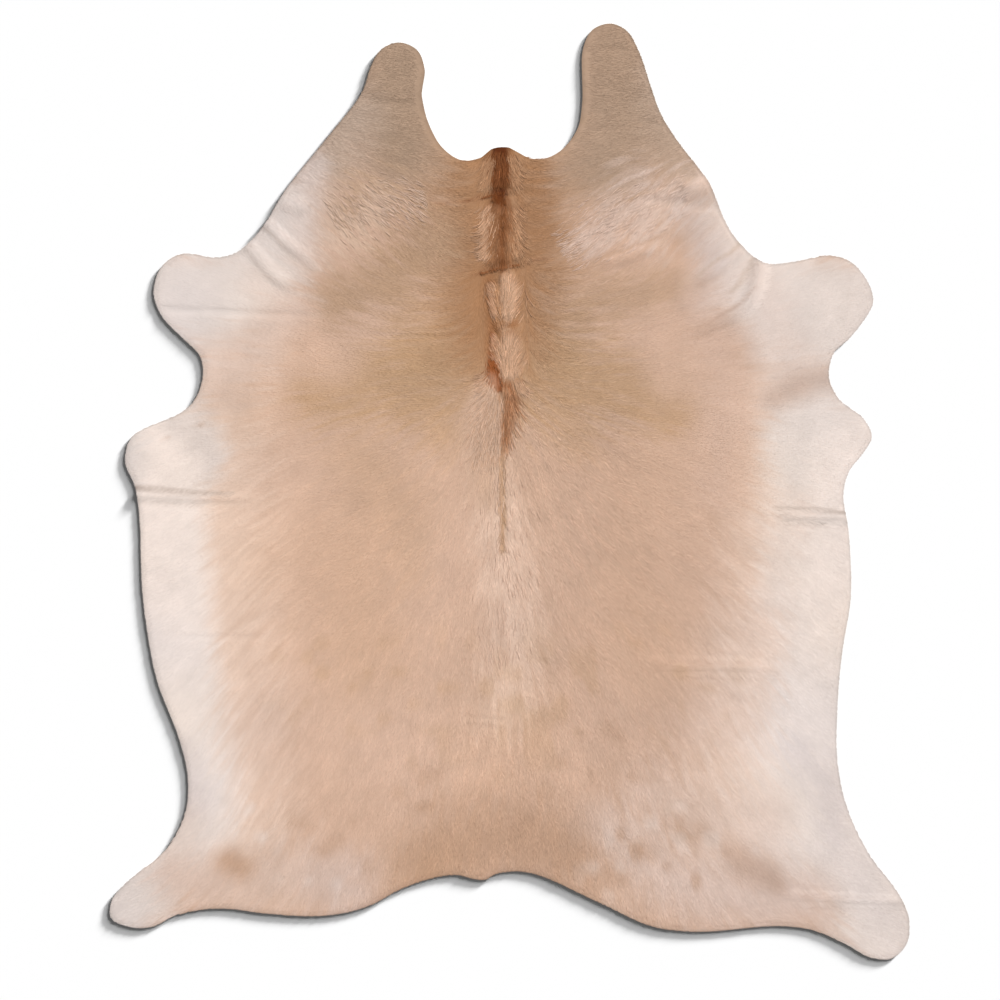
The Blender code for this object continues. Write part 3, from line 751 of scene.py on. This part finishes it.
# %% [markdown]
# ## Shader maths in plain Python
# A material is a net of nodes, and sums written as nodes are hard to read. So one small class
# wraps a node's output and gives it Python's operators: adding two wires adds a Math node.
# Colours must not go through Math nodes, which turn them grey, so they have methods of their own.

# %% Shader maths in plain Python
class Wire:
    """One output of a node. Sums of wires and numbers add Math nodes."""

    def __init__(self, finish, socket):
        self.finish, self.socket = finish, socket

    def math(self, operation, other):
        return self.finish.node("ShaderNodeMath", {"operation": operation}, {0: self, 1: other})

    def __add__(self, other):
        return self.math("ADD", other)

    def __mul__(self, other):
        return self.math("MULTIPLY", other)

    __radd__, __rmul__ = __add__, __mul__

    def step(self, low, high):
        """0 below low, 1 above high, and a soft S between."""
        settings = {"interpolation_type": "SMOOTHSTEP"}
        return self.finish.node("ShaderNodeMapRange", settings, {0: self, 1: low, 2: high})

    def shade(self, factor):
        """A colour made lighter or darker."""
        return self.finish.node("ShaderNodeVectorMath", {"operation": "SCALE"}, {0: self, "Scale": factor})

    def towards(self, colour, factor):
        """A colour blended towards another."""
        settings = {"data_type": "RGBA"}
        return self.finish.node("ShaderNodeMix", settings, {0: factor, 6: self, 7: colour}, output=2)


class Finish:
    """A material being made: its nodes and its Principled shader."""

    def __init__(self, name, uniform):
        self.material = bpy.data.materials.new(name)
        self.material.use_nodes = True
        self.tree = self.material.node_tree
        self.shader = self.tree.nodes["Principled BSDF"]
        for socket, value in uniform.items():
            self.shader.inputs[socket].default_value = value

    def node(self, kind, settings, sockets, output=0):
        """Adds a node with its settings, feeds its sockets, and returns one output as a wire."""
        made = self.tree.nodes.new(kind)
        for setting, value in settings.items():
            setattr(made, setting, value)
        for socket, value in sockets.items():
            self.feed(made.inputs[socket], value)
        return Wire(self, made.outputs[output])

    def feed(self, socket, value):
        if isinstance(value, Wire):
            self.tree.links.new(value.socket, socket)
        else:
            socket.default_value = value

    def place(self):
        """Where on the hide a point is, in metres."""
        return self.node("ShaderNodeTexCoord", {}, {}, output="Object")

    def painted(self, output="Color"):
        """The colour painted on the mesh, or with Alpha, how far along its hair a point is."""
        return self.node("ShaderNodeAttribute", {"attribute_name": "coat"}, {}, output)

    def noise(self, scale, detail=2.0, roughness=0.5):
        sockets = {"Vector": self.place(), "Scale": scale, "Detail": detail, "Roughness": roughness}
        return self.node("ShaderNodeTexNoise", {}, sockets)

    def bump(self, height, strength, distance):
        return self.node("ShaderNodeBump", {}, {"Strength": strength, "Distance": distance, "Height": height})

    def finish(self, **channels):
        """Joins wires to the shader. base_color feeds the socket named Base Color, and so on."""
        for channel, wire in channels.items():
            self.feed(self.shader.inputs[channel.replace("_", " ").title()], wire)
        print("material", self.material.name, "has", len(self.tree.nodes), "nodes")
        return self.material


# %% [markdown]
# ## The finish of the hair
# Cow hair is smooth and slightly oily, so it has a soft sheen, but it is thin and short, so no
# hard highlights. Each hair is painted darker at the root, a painted shade for where it lies deep
# among the others, and paler at the tip, where the sun has bleached it. In the mane that difference
# is larger, and its long hair is duller. The colour comes with the mesh, in an attribute whose fourth
# channel runs from 0 at the root to 1 at the tip. Soft noise adds dapples.

# %% The finish of the hair
DAPPLE_SCALE, CLOUD_SCALE = 16.0, 46.0  # per metre
DIM, DAPPLE, CLOUD = 0.92, 0.10, 0.06  # the hair's shade: what noise leaves alone, and what it adds
HAIR_ROUGHNESS, ROUGHER_DAPPLE, SHEEN_ROUGHNESS = 0.5, 0.16, 0.5


def hair_finish(name, root_shade, tip_shade, shine, sheen):
    hair = Finish(name, {"Specular IOR Level": shine, "Sheen Weight": sheen,
                         "Sheen Roughness": SHEEN_ROUGHNESS})
    coat, along = hair.painted(), hair.painted("Alpha")
    dapple = hair.noise(DAPPLE_SCALE, 3.0)
    cloud = hair.noise(CLOUD_SCALE)
    # painted shade towards the root, and paler bleached tips towards the end
    light = root_shade + (tip_shade - root_shade) * along
    light = light * (DIM + DAPPLE * dapple + CLOUD * cloud)
    return hair.finish(base_color=coat.shade(light), roughness=HAIR_ROUGHNESS + ROUGHER_DAPPLE * dapple)


coat_hair = hair_finish("coat hair", 0.985, 1.035, 0.14, 0.06)
mane_hair = hair_finish("mane hair", 0.9, 1.12, 0.04, 0.0)

# %% [markdown]
# ## The leather under the coat
# Between the hairs the skin shows a little, as the dense short undercoat, so its top takes the
# coat's colour in a slightly darker shade. The back of a tanned hide is suede: pale, matt and
# fibrous, with faint clouds and the veins of the skin.

# %% The leather under the coat
FLUFF_SCALE, FLUFF_SHADE, FLUFF = 900.0, 0.93, 0.08
FIBRE_SCALE, FIBRE_SHADE, FIBRE = 620.0, 0.86, 0.28
SUEDE, CLOUDY_SUEDE, VEINED_SUEDE = (0.62, 0.55, 0.47, 1.0), (0.48, 0.42, 0.37, 1.0), (0.42, 0.35, 0.32, 1.0)


def undercoat_finish():
    coat = Finish("undercoat", {"Specular IOR Level": 0.15, "Roughness": 0.85})
    colour = coat.painted()
    fluff = coat.noise(FLUFF_SCALE, 3.0)
    bump = coat.bump(fluff, strength=0.3, distance=0.0004)
    return coat.finish(base_color=colour.shade(FLUFF_SHADE + FLUFF * fluff), normal=bump)


def suede_finish():
    suede = Finish("suede", {"Specular IOR Level": 0.1, "Sheen Weight": 0.25})
    fibre = suede.noise(FIBRE_SCALE, 4.0, 0.65)
    cloud = suede.noise(9.0, 4.0)
    vein = suede.node("ShaderNodeTexNoise", {"noise_type": "RIDGED_MULTIFRACTAL"},
                      {"Vector": suede.place(), "Scale": 5.0, "Detail": 3.0})
    tone = suede.node("ShaderNodeRGB", {}, {})
    tone.socket.default_value = SUEDE
    tone = tone.towards(CLOUDY_SUEDE, cloud.step(0.42, 0.72) * 0.6)
    tone = tone.towards(VEINED_SUEDE, vein.step(1.2, 1.9) * 0.35)
    tone = tone.shade(FIBRE_SHADE + FIBRE * fibre)
    bump = suede.bump(fibre, strength=0.5, distance=0.0008)
    return suede.finish(base_color=tone, roughness=0.82 + 0.12 * cloud, normal=bump)


undercoat = undercoat_finish()
suede = suede_finish()

# %% [markdown]
# ## Meshes from arrays
# Blender's Python is slow at adding points one by one, so meshes are made from whole arrays at
# once. Each also gets its colour, in an attribute named coat, and a map named OFBake, in which
# every part of it has a place of its own, for baking.

# %% Meshes from arrays
def mesh_of(name, places, triangles):
    """A mesh from arrays of places, in mm, and triangles."""
    mesh = bpy.data.meshes.new(name)
    mesh.vertices.add(len(places))
    mesh.vertices.foreach_set("co", (places * MM).astype(np.float32).ravel())
    mesh.loops.add(triangles.size)
    mesh.loops.foreach_set("vertex_index", triangles.astype(np.int32).ravel())
    mesh.polygons.add(len(triangles))
    mesh.polygons.foreach_set("loop_start", np.arange(0, triangles.size, 3, dtype=np.int32))
    mesh.update(calc_edges=True)
    mesh.validate()
    return mesh


def give_colour(mesh, colour):
    layer = mesh.color_attributes.new("coat", "FLOAT_COLOR", "POINT")
    layer.data.foreach_set("color", colour.astype(np.float32).ravel())


def give_map(mesh, corners):
    layer = mesh.uv_layers.new(name="OFBake")
    layer.uv.foreach_set("vector", corners.astype(np.float32).ravel())


def in_cells(count, corners):
    """The corners of one small shape, repeated in as many cells of the map, row by row."""
    across = math.ceil(math.sqrt(count))
    cell = np.column_stack((np.arange(count) % across, np.arange(count) // across))
    return (cell[:, None] + np.array(corners)) / across


def show(name, mesh, materials):
    for material in materials:
        mesh.materials.append(material)
    piece = bpy.data.objects.new(name, mesh)
    scene.collection.objects.link(piece)
    print(name, "has", len(mesh.polygons), "triangles")
    return piece


print("nine small shapes take cells of", in_cells(9, ((0, 0), (1, 1)))[0, 1].round(3), "of the map")

# %% [markdown]
# ## The leather sheet
# The sheet is drawn in plan: an even field of places inside the edge, joined into triangles. The
# top gets a finer field than the underside, because the folds show there. Both share the points
# of the edge, so a narrow wall, the knife cut, closes the sheet. In the map each plan takes a
# half: the top at the left, with the wall as a border round it, and the underside at the right.

# %% The leather sheet
TOP_STEP, UNDER_STEP = 9.5, 17.0
FIELD_CLEAR = 0.6  # how far the field stays from the edge, in its own steps
MAP_ROOM = 1.06  # the map is this much longer than the hide
WALL_WIDTH = 6.0  # how wide the knife cut is drawn in the map, in mm
SHARP_EDGE = math.radians(40)


def field(loop, step):
    """An even field of places inside the loop, and the triangles over them. The loop comes first."""
    columns = np.arange(GRID_X[0], GRID_X[-1], step)
    rows = np.arange(GRID_Y[0], GRID_Y[-1], step * math.sqrt(3) / 2)
    places = np.array([(x + (k % 2) * step / 2, y) for k, y in enumerate(rows) for x in columns])
    places = places[read(from_edge, places) > HAIR_OVERHANG + FIELD_CLEAR * step]
    places = np.vstack((loop, places))
    ring = len(loop)
    flat = [Vector(place) for place in places]
    edges = [(k, (k + 1) % ring) for k in range(ring)]
    found, _, triangles, sources, _, _ = delaunay_2d_cdt(flat, edges, [range(ring)], 1, 1e-6)
    order = [0] * len(places)
    for new, olds in enumerate(sources):
        for old in olds:
            order[old] = new
    renumber = np.empty(len(found), int)
    renumber[np.array(order)] = np.arange(len(places))
    return places, renumber[np.array(triangles)]


def leather_sheet():
    top, top_faces = field(rim, TOP_STEP)
    under, under_faces = field(rim, UNDER_STEP)
    ring, first = len(rim), len(top)
    high = np.column_stack((top, read(skin_top, top)))
    low = np.column_stack((under, read(lift_map, under)))
    here = np.arange(ring)
    there = (here + 1) % ring
    wall = np.vstack((np.column_stack((first + here, first + there, there)),
                      np.column_stack((first + here, there, here))))
    faces = np.vstack((top_faces, under_faces[:, ::-1] + first, wall))
    mesh = mesh_of("hide_leather", np.vstack((high, low)), faces)
    lots = (len(top_faces), len(under_faces), len(wall))
    mesh.polygons.foreach_set("material_index", np.repeat((0, 1, 1), lots).astype(np.int32))
    colour = read(coat_colour, np.vstack((top, under)))
    give_colour(mesh, np.column_stack((colour, np.zeros(len(colour)))))
    plan = 2 * MAP_ROOM * np.ptp(outline[:, 0])
    middle = (outline.max(axis=0) + outline.min(axis=0)) / 2
    kind = np.repeat((0, 1, 2), [3 * lot for lot in lots])  # top, underside, wall
    corner = faces.ravel()
    drawn = np.vstack((top, under))[corner]
    low_edge = (kind == 2) & (corner >= first)
    drawn[low_edge] = inset(rim, -WALL_WIDTH)[corner[low_edge] - first]
    give_map(mesh, (drawn - middle) / plan + np.where(kind == 1, 0.75, 0.25)[:, None] * (1, 0) + (0, 0.5))
    mesh.shade_smooth()
    mesh.set_sharp_from_angle(angle=SHARP_EDGE)
    return show("hide_leather", mesh, (undercoat, suede))


hide_leather = leather_sheet()

# %% [markdown]
# ## One lock of hair, many times
# A single hair is far too thin to see, so the coat is made of small locks, each a few hairs that
# cling together. A lock is a narrow kite of two triangles with a ridge along its middle, so it has
# a light side and a dark side. Blender's hair system would do this at render time only, and the
# hair would be lost with the render, so the locks are a real mesh. The colour is read at each
# corner of a lock, so that it blends along its length.

# %% One lock of hair, many times
WIDEST = 0.4  # how far along a lock it is widest
LOCK_IN_CELL = ((0.1, 0.1), (0.1, 0.9), (0.9, 0.9), (0.9, 0.1))  # in the map: root, side, tip, side


def locks_mesh(name, root, tip, half_width, ridge, roll, tone):
    """Joined kites from roots to tips. Their sides hang below the ridge, and roll tilts each kite."""
    count = len(root)
    length = tip - root
    flat = np.linalg.norm(length[:, :2], axis=1, keepdims=True)
    side = np.column_stack((-length[:, 1], length[:, 0])) / flat
    side = np.column_stack((side * np.cos(roll)[:, None], np.sin(roll))) * half_width[:, None]
    middle = root + WIDEST * length
    middle[:, 2] -= ridge * half_width
    places = np.stack((root, middle + side, tip, middle - side), axis=1).reshape(-1, 3)
    first = 4 * np.arange(count)[:, None]
    faces = np.stack((first + (0, 3, 2), first + (0, 2, 1)), axis=1).reshape(-1, 3)
    mesh = mesh_of(name, places, faces)
    along = np.tile((0.0, WIDEST, 1.0, WIDEST), count)
    colour = np.clip(read(coat_colour, places[:, :2]) * np.repeat(tone, 4)[:, None], 0, 1)
    give_colour(mesh, np.column_stack((colour, along)))
    # Locks that lie side by side get cells side by side in the map
    strip = np.empty(count, int)
    strip[np.argsort(root[:, 1], kind="stable")] = np.arange(count) // math.ceil(math.sqrt(count))
    corner = np.empty((count, 4, 2))
    corner[np.lexsort((root[:, 0], strip))] = in_cells(count, LOCK_IN_CELL)
    give_map(mesh, corner[:, (0, 3, 2, 0, 2, 1)].reshape(-1, 2))
    mesh.shade_smooth()
    return mesh


# %% [markdown]
# ## How unruly the coat is
# The belly and shoulders of a hide are sleek, and the spine, the cheeks and the tail are rough.
# Where the coat is rough, its locks stray more from the lie of the hair, tilt more and differ more
# in tone. Where it is sleek they are wider and lie lower, so that it looks like one smooth surface.

# %% How unruly the coat is
RUFFLE_AT = (-600.0, -350.0, -100.0, 100.0, 350.0, 600.0)  # mm from the spine, the hide's left first
RUFFLE = [Level(*row) for row in (
    ("tail", -850, (0.9, 1.1, 2.4, 2.4, 1.3, 0.5)),
    ("rump", -650, (0.4, 0.9, 1.8, 1.9, 0.9, 0.3)),
    ("loin", -400, (0.5, 0.9, 1.5, 1.3, 0.9, 0.6)),
    ("back", -130, (0.5, 1.0, 1.6, 1.8, 0.9, 0.4)),
    ("ribs", 130, (0.3, 0.6, 1.4, 1.9, 0.6, 0.3)),
    ("shoulders", 280, (0.2, 0.3, 1.2, 1.6, 0.4, 0.3)),
    ("foot of the neck", 420, (0.2, 0.6, 1.0, 1.4, 0.9, 0.3)),
    ("neck", 620, (0.3, 0.9, 1.3, 1.6, 1.5, 0.6)),
    ("cheeks", 950, (1.5, 1.6, 1.6, 1.6, 1.6, 1.6)),
)]
SLEEK = (0.2, 1.2)  # sleek and rough, as numbers of the table
SLEEK_WIDTH, SLEEK_RISE = (1.7, 1.0), (0.4, 1.0)  # what a lock's width and rise are multiplied by at these
ruffle_map = from_levels(RUFFLE, RUFFLE_AT, from_spine)
print("the coat is unruly by", ruffle_map.min().round(2), "to", ruffle_map.max().round(2))

# %% [markdown]
# ## The coat
# The locks stand on an even field of roots, each moved a little at random. Every lock reads the
# maps at its root: it lies the way the hair lies there, and it is a touch lighter or darker with
# its streak. Where a lock would reach past the trimmed edge it is cut short. One mesh for the
# whole coat would be heavy to handle, so it comes in five bands.

# %% The coat
COAT_PITCH = 2.82  # between roots
ROOT_JITTER = 0.45  # how far a root is moved, in pitches
ROOT_CLEAR, ROOT_DEPTH = 0.4, 0.25  # how far roots stay from the cut leather's edge, and below its top
COAT_LENGTH = (15.0, 24.0)
COAT_HALF_WIDTH = (0.65, 1.0)
COAT_RISE, STREAK_RISE = (0.45, 0.9), 0.15  # how far a tip lies above the leather, and more in a pale streak
COAT_RAGGED = (-0.8, 2.2)  # how far past the cut leather a tip may reach
SHORTEST = 0.12  # the share of its length that even a trimmed lock keeps
RIDGE = 0.2  # how far a lock's sides hang below its ridge, in half widths
BANDS = (("neck_hair", 500.0, 1200.0), ("shoulder_hair", 90.0, 500.0), ("back_hair", -280.0, 90.0),
         ("loin_hair", -640.0, -280.0), ("rump_hair", -1200.0, -640.0))
TONE_SPREAD, STREAK_SHARE, LONG_STREAK_SHARE = 0.026, 0.022, 0.014
ROLL_SPREAD, TURN_SPREAD = math.radians(4.5), math.radians(7)
HAIR_SEED = 11
chance = np.random.default_rng(HAIR_SEED)


def between(limits, count):
    return chance.uniform(limits[0], limits[1], count)


def unit(ways):
    return ways / np.maximum(np.linalg.norm(ways, axis=1, keepdims=True), 1e-6)


def coat_roots():
    columns = np.arange(GRID_X[0], GRID_X[-1], COAT_PITCH)
    rows = np.arange(GRID_Y[0], GRID_Y[-1], COAT_PITCH * math.sqrt(3) / 2)
    places = np.stack(np.meshgrid(columns, rows, indexing="ij"), axis=2)
    places[..., 0] += (np.arange(len(rows)) % 2) * COAT_PITCH / 2
    places = places.reshape(-1, 2)
    places = places + chance.uniform(-ROOT_JITTER, ROOT_JITTER, places.shape) * COAT_PITCH
    return places[read(from_edge, places) > HAIR_OVERHANG + ROOT_CLEAR]


def trimmed(roots, reach):
    """Shortens the reach of locks that would pass the edge."""
    inside = read(from_edge, roots) - HAIR_OVERHANG
    beyond = -(read(from_edge, roots + reach) - HAIR_OVERHANG)
    allowed = between(COAT_RAGGED, len(roots))
    share = np.where(beyond > allowed, (inside + allowed) / np.maximum(inside + beyond, 1e-6), 1.0)
    return reach * np.clip(share, SHORTEST, 1.0)[:, None]


def coat_band(name, roots):
    count = len(roots)
    ruffle = read(ruffle_map, roots)
    streak = read(fine_streaks, roots)
    turn = chance.normal(0, TURN_SPREAD, count) * ruffle
    way = unit(read(lie, roots))
    way = np.column_stack((way[:, 0] * np.cos(turn) - way[:, 1] * np.sin(turn),
                           way[:, 0] * np.sin(turn) + way[:, 1] * np.cos(turn)))
    tips = roots + trimmed(roots, way * between(COAT_LENGTH, count)[:, None])
    rise = between(COAT_RISE, count) + STREAK_RISE * np.clip(streak, -2, 2)
    rise = rise * np.interp(ruffle, SLEEK, SLEEK_RISE)
    root = np.column_stack((roots, read(skin_top, roots) - ROOT_DEPTH))
    tip = np.column_stack((tips, read(skin_top, tips) + rise))
    tone = TONE_SPREAD * chance.normal(0, 1, count) + STREAK_SHARE * streak
    tone = 1 + (tone + LONG_STREAK_SHARE * read(long_streaks, roots)) * ruffle
    roll = chance.normal(0, ROLL_SPREAD, count) * ruffle
    half_width = between(COAT_HALF_WIDTH, count) * np.interp(ruffle, SLEEK, SLEEK_WIDTH)
    mesh = locks_mesh(name, root, tip, half_width, RIDGE * ruffle, roll, tone)
    return show(name, mesh, (coat_hair,))


roots = coat_roots()
coat_pieces = [coat_band(name, roots[(roots[:, 1] >= low) & (roots[:, 1] < high)])
               for name, low, high in BANDS]
print(len(roots), "locks in the coat")

# %% [markdown]
# ## The bundles of the mane
# Along the neck the hair is longer, and it isn't combed flat: it lies in curved strands. Down the
# neck they part to both sides like a feather. Below the second crease they turn inwards and gather
# in two pale tufts, with a russet swirl beside them, and then they spread into the coat of the
# back. Each row is one bundle: its tones at root and tip, how much its strands differ in tone, how
# far they lie over the others, how long they are, how many, and a line of places with the bundle's
# half width at each.

# %% The bundles of the mane
Bundle = namedtuple("Bundle", "name root_tone tip_tone contrast over length count line")
MANE = [Bundle(*row) for row in (
    ("nape core", "dark umber", "walnut", 0.32, 0, 34, 560,
     ((-24, 780, 15), (-22, 745, 17), (-21, 712, 15))),
    ("nape left fringe", "walnut", "tuft tan", 0.25, 0, 32, 440,
     ((-44, 770, 9), (-47, 735, 11), (-49, 704, 9))),
    ("nape right fringe", "walnut", "tuft tan", 0.22, 0, 30, 360, ((2, 772, 9), (8, 735, 11), (9, 702, 9))),
    # painted shade: dark strands laid over the first crease draw its shadow line
    ("first crease", "dark umber", "mane brown", 0.10, 0.5, 16, 220,
     ((-34, 678, 7), (-24, 670, 10), (-16, 658, 6))),
    ("line of the first crease", "dark umber", "mane brown", 0.10, 1.1, 7, 130,
     ((-60, 669, 1), (-42, 675, 2), (-30, 680, 3), (-12, 681, 3))),
    ("under the first crease", "dark umber", "hazel", 0.20, 0.3, 30, 220, ((-28, 664, 9), (-20, 650, 9))),
    ("parting", "mane brown", "walnut", 0.20, 0, 36, 340, ((-15, 652, 6), (-15, 590, 7), (-15, 530, 6))),
    ("mane core", "walnut", "hazel", 0.20, 0, 38, 480, ((-32, 654, 11), (-31, 590, 13), (-30, 536, 11))),
    ("right of the parting", "walnut", "hazel", 0.20, 0, 34, 300,
     ((-4, 652, 8), (-2, 590, 9), (-2, 536, 7))),
    ("mane left fringe", "hazel", "tuft tip", 0.30, 0, 36, 520,
     ((-42, 656, 13), (-45, 600, 17), (-46, 545, 13))),
    ("mane right fringe", "hazel", "tuft tan", 0.28, 0, 32, 360,
     ((8, 656, 10), (12, 600, 14), (12, 545, 10))),
    # painted shade: dark strands laid over the second crease draw its shadow line
    ("second crease", "mane brown", "walnut", 0.10, 1.1, 7, 200,
     ((-64, 498, 1), (-46, 503, 2), (-26, 509, 4), (-6, 513, 3), (22, 518, 1))),
    ("left curls of the first tuft", "tuft shade", "tuft tip", 0.25, 0.2, 34, 280,
     ((-50, 482, 6), (-48, 445, 7), (-44, 414, 6))),
    ("right curls of the first tuft", "hazel", "tuft tip", 0.22, 0.2, 28, 200,
     ((12, 488, 6), (16, 450, 7), (12, 410, 6))),
    ("left curls of the second tuft", "rust", "tuft tip", 0.25, 0.2, 30, 260,
     ((-42, 366, 5), (-40, 330, 7), (-36, 300, 6))),
    ("first tuft", "russet", "tuft tip", 0.28, 0, 38, 700, ((-12, 506, 10), (2, 465, 32), (6, 412, 26))),
    ("left of the first tuft", "tuft shade", "tuft tan", 0.24, 0, 32, 300,
     ((-36, 486, 9), (-34, 440, 12), (-30, 396, 10))),
    ("second tuft", "russet", "tuft tip", 0.28, 0, 40, 760, ((-4, 370, 14), (4, 330, 34), (0, 286, 26))),
    ("left of the second tuft", "hazel", "tuft tan", 0.20, 0, 26, 160, ((-38, 366, 9), (-38, 310, 11))),
    ("swirl", "rust", "rust", 0.12, 0.4, 22, 340, ((-43, 302, 9), (-38, 272, 14), (-24, 242, 10))),
    ("left spray", "hazel", "spray tip", 0.13, 0, 42, 620,
     ((-34, 254, 12), (-46, 200, 26), (-50, 130, 32), (-46, 70, 30))),
    ("right lens", "rust", "tuft tan", 0.22, 0, 34, 420,
     ((-10, 250, 10), (2, 205, 20), (-4, 150, 14), (-14, 96, 6))),
    ("right fan", "russet", "tuft tip", 0.20, 0, 30, 160, ((14, 262, 8), (28, 236, 10))),
    ("left fan", "tuft shade", "tuft tip", 0.20, 0, 30, 160, ((-52, 274, 8), (-54, 240, 10))),
    ("right neck lights", "rosy tan", "blush", 0.08, 0, 30, 700,
     ((110, 540, 40), (200, 590, 62), (310, 645, 56), (390, 680, 40))),
    ("left neck lights", "golden", "blush", 0.10, 0, 28, 460,
     ((-180, 650, 40), (-290, 645, 62), (-390, 600, 52))),
    ("back parting", "hazel", "golden", 0.15, 0, 28, 220, ((-16, 90, 6), (-18, -20, 6), (-18, -120, 4))),
    ("spine", "tan", "rosy tan", 0.04, 0, 30, 300, ((-20, 50, 60), (-20, -150, 70), (-20, -380, 50))),
)]
print(len(MANE), "bundles with", sum(bundle.count for bundle in MANE), "strands")

# %% [markdown]
# ## The strands of the mane
# A strand starts at a root and takes a few steps along the lie of the hair, so that it curves as
# the coat does. It is one corner at its root and at its tip, and a ridge with two sides hanging
# below it at the stations between. Its colour goes from the bundle's root tone to its tip tone,
# and takes in some of the coat's colour below, so that no bundle ends in a hard line.

# %% The strands of the mane
STRAND_STATIONS = (0.0, 0.35, 0.7, 1.0)
STRAND_RISE = (-0.3, 1.5, 1.8, 0.7)  # above the leather, at each station
STRAND_WIDTH = (0.7, 1.0, 0.8, 0.0)  # at each station, in half widths
STRAND_HALF_WIDTH = (0.5, 0.95)
STRAND_LIFT = (0.4, 1.2)  # what a strand's rise is multiplied by
STRAND_LENGTHS, STRAND_WANDER = (0.65, 1.15), 0.14
STRAND_SAG = 0.3  # how far a strand's sides hang below its ridge
STRAND_STEPS = 4  # from one station to the next
STRAND_ROW = 8.0  # between places on a bundle's line
BUNDLE_SPREAD, BUNDLE_LIMIT = 0.55, 1.2  # how far roots stray from the bundle's middle, in its half widths
GROUND_SHARE = (0.25, 0.45)  # how much of the coat's colour there a strand takes, at root and tip
STRAND_IN_CELL = (0.1, 0.5, 0.9)  # in the map: side, ridge, side


def strand_roots(bundle):
    """Random places in the bundle's band, denser in its middle."""
    line = smooth_curve(bundle.line, False, STRAND_ROW)
    spans = np.arange(len(line))
    at = chance.uniform(0, len(line) - 1, bundle.count)
    x, y, half = (np.interp(at, spans, line[:, k]) for k in range(3))
    ahead = unit(np.gradient(line[:, :2], axis=0))
    across = np.column_stack([-np.interp(at, spans, ahead[:, 1]), np.interp(at, spans, ahead[:, 0])])
    offset = np.clip(chance.normal(0, BUNDLE_SPREAD, bundle.count), -BUNDLE_LIMIT, BUNDLE_LIMIT) * half
    roots = np.column_stack((x, y)) + offset[:, None] * across
    return roots[read(from_edge, roots) > HAIR_OVERHANG]


def sides(station):
    """The corners across a strand: one at its ends, and three at the stations between."""
    return (0,) if station in (0.0, 1.0) else (-1, 0, 1)


def strands(bundle):
    """Places, colours and shares of length for the strands of a bundle, corner by corner."""
    at = strand_roots(bundle)
    count = len(at)
    length = bundle.length * between(STRAND_LENGTHS, count)
    wander = chance.normal(0, STRAND_WANDER, count)[:, None]
    half_width = between(STRAND_HALF_WIDTH, count)
    tone = np.exp(bundle.contrast * chance.normal(0, 1, (count, 1)))
    lift = between(STRAND_LIFT, count)
    root_tone, tip_tone = LINEAR[bundle.root_tone], LINEAR[bundle.tip_tone]
    places, colours, shares = [], [], []
    last = 0.0
    for station, rise, width in zip(STRAND_STATIONS, STRAND_RISE, STRAND_WIDTH):
        for _ in range(STRAND_STEPS if station else 0):
            way = unit(read(lie, at))
            way = way + wander * np.column_stack((-way[:, 1], way[:, 0]))
            at = at + way * (length * (station - last) / STRAND_STEPS)[:, None]
        last = station
        way = unit(read(lie, at))
        side = np.column_stack((-way[:, 1], way[:, 0])) * (half_width * width)[:, None]
        height = read(skin_top, at) + rise * (lift if station else 1.0) + bundle.over
        ground = GROUND_SHARE[0] + station * (GROUND_SHARE[1] - GROUND_SHARE[0])
        own = (root_tone + station * (tip_tone - root_tone)) * tone
        colour = own + ground * (read(coat_colour, at) - own)
        for across in sides(station):
            places.append(np.column_stack((at + across * side, height - abs(across) * STRAND_SAG)))
            colours.append(colour)
            shares.append(np.full(count, station))
    return [np.stack(rows, axis=1) for rows in (places, colours, shares)]


def mane_mesh(name):
    """All bundles as one mesh of curved strands."""
    where, colour, along = (np.concatenate(lot) for lot in zip(*(strands(bundle) for bundle in MANE)))
    count, corners = along.shape
    one = [(0, 1, 2), (0, 2, 3)]
    for a in range(1, corners - 4, 3):
        one += [(a, a + 3, a + 4), (a, a + 4, a + 1), (a + 1, a + 4, a + 5), (a + 1, a + 5, a + 2)]
    one += [(corners - 4, corners - 1, corners - 3), (corners - 3, corners - 1, corners - 2)]
    one = np.array(one)[:, ::-1]
    faces = (corners * np.arange(count)[:, None, None] + one).reshape(-1, 3)
    mesh = mesh_of(name, where.reshape(-1, 3), faces)
    give_colour(mesh, np.column_stack((np.clip(colour, 0, 1).reshape(-1, 3), along.ravel())))
    in_cell = [(STRAND_IN_CELL[across + 1], 0.06 + 0.88 * station) for station in STRAND_STATIONS
               for across in sides(station)]
    give_map(mesh, in_cells(count, in_cell)[:, one.ravel()].reshape(-1, 2))
    mesh.shade_smooth()
    return mesh


mane = show("mane", mane_mesh("mane"), (mane_hair,))

# %% [markdown]
# ## Put each piece on the body
# Every piece rides on the one body and stands for the CAD solid, which is hidden.

# %% Put each piece on the body
hair_pieces = coat_pieces + [mane]
for piece in [hide_leather] + hair_pieces:
    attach(piece, "root")
    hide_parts("hide")
total = sum(len(piece.data.polygons) for piece in [hide_leather] + hair_pieces)
print("triangles in all:", total)
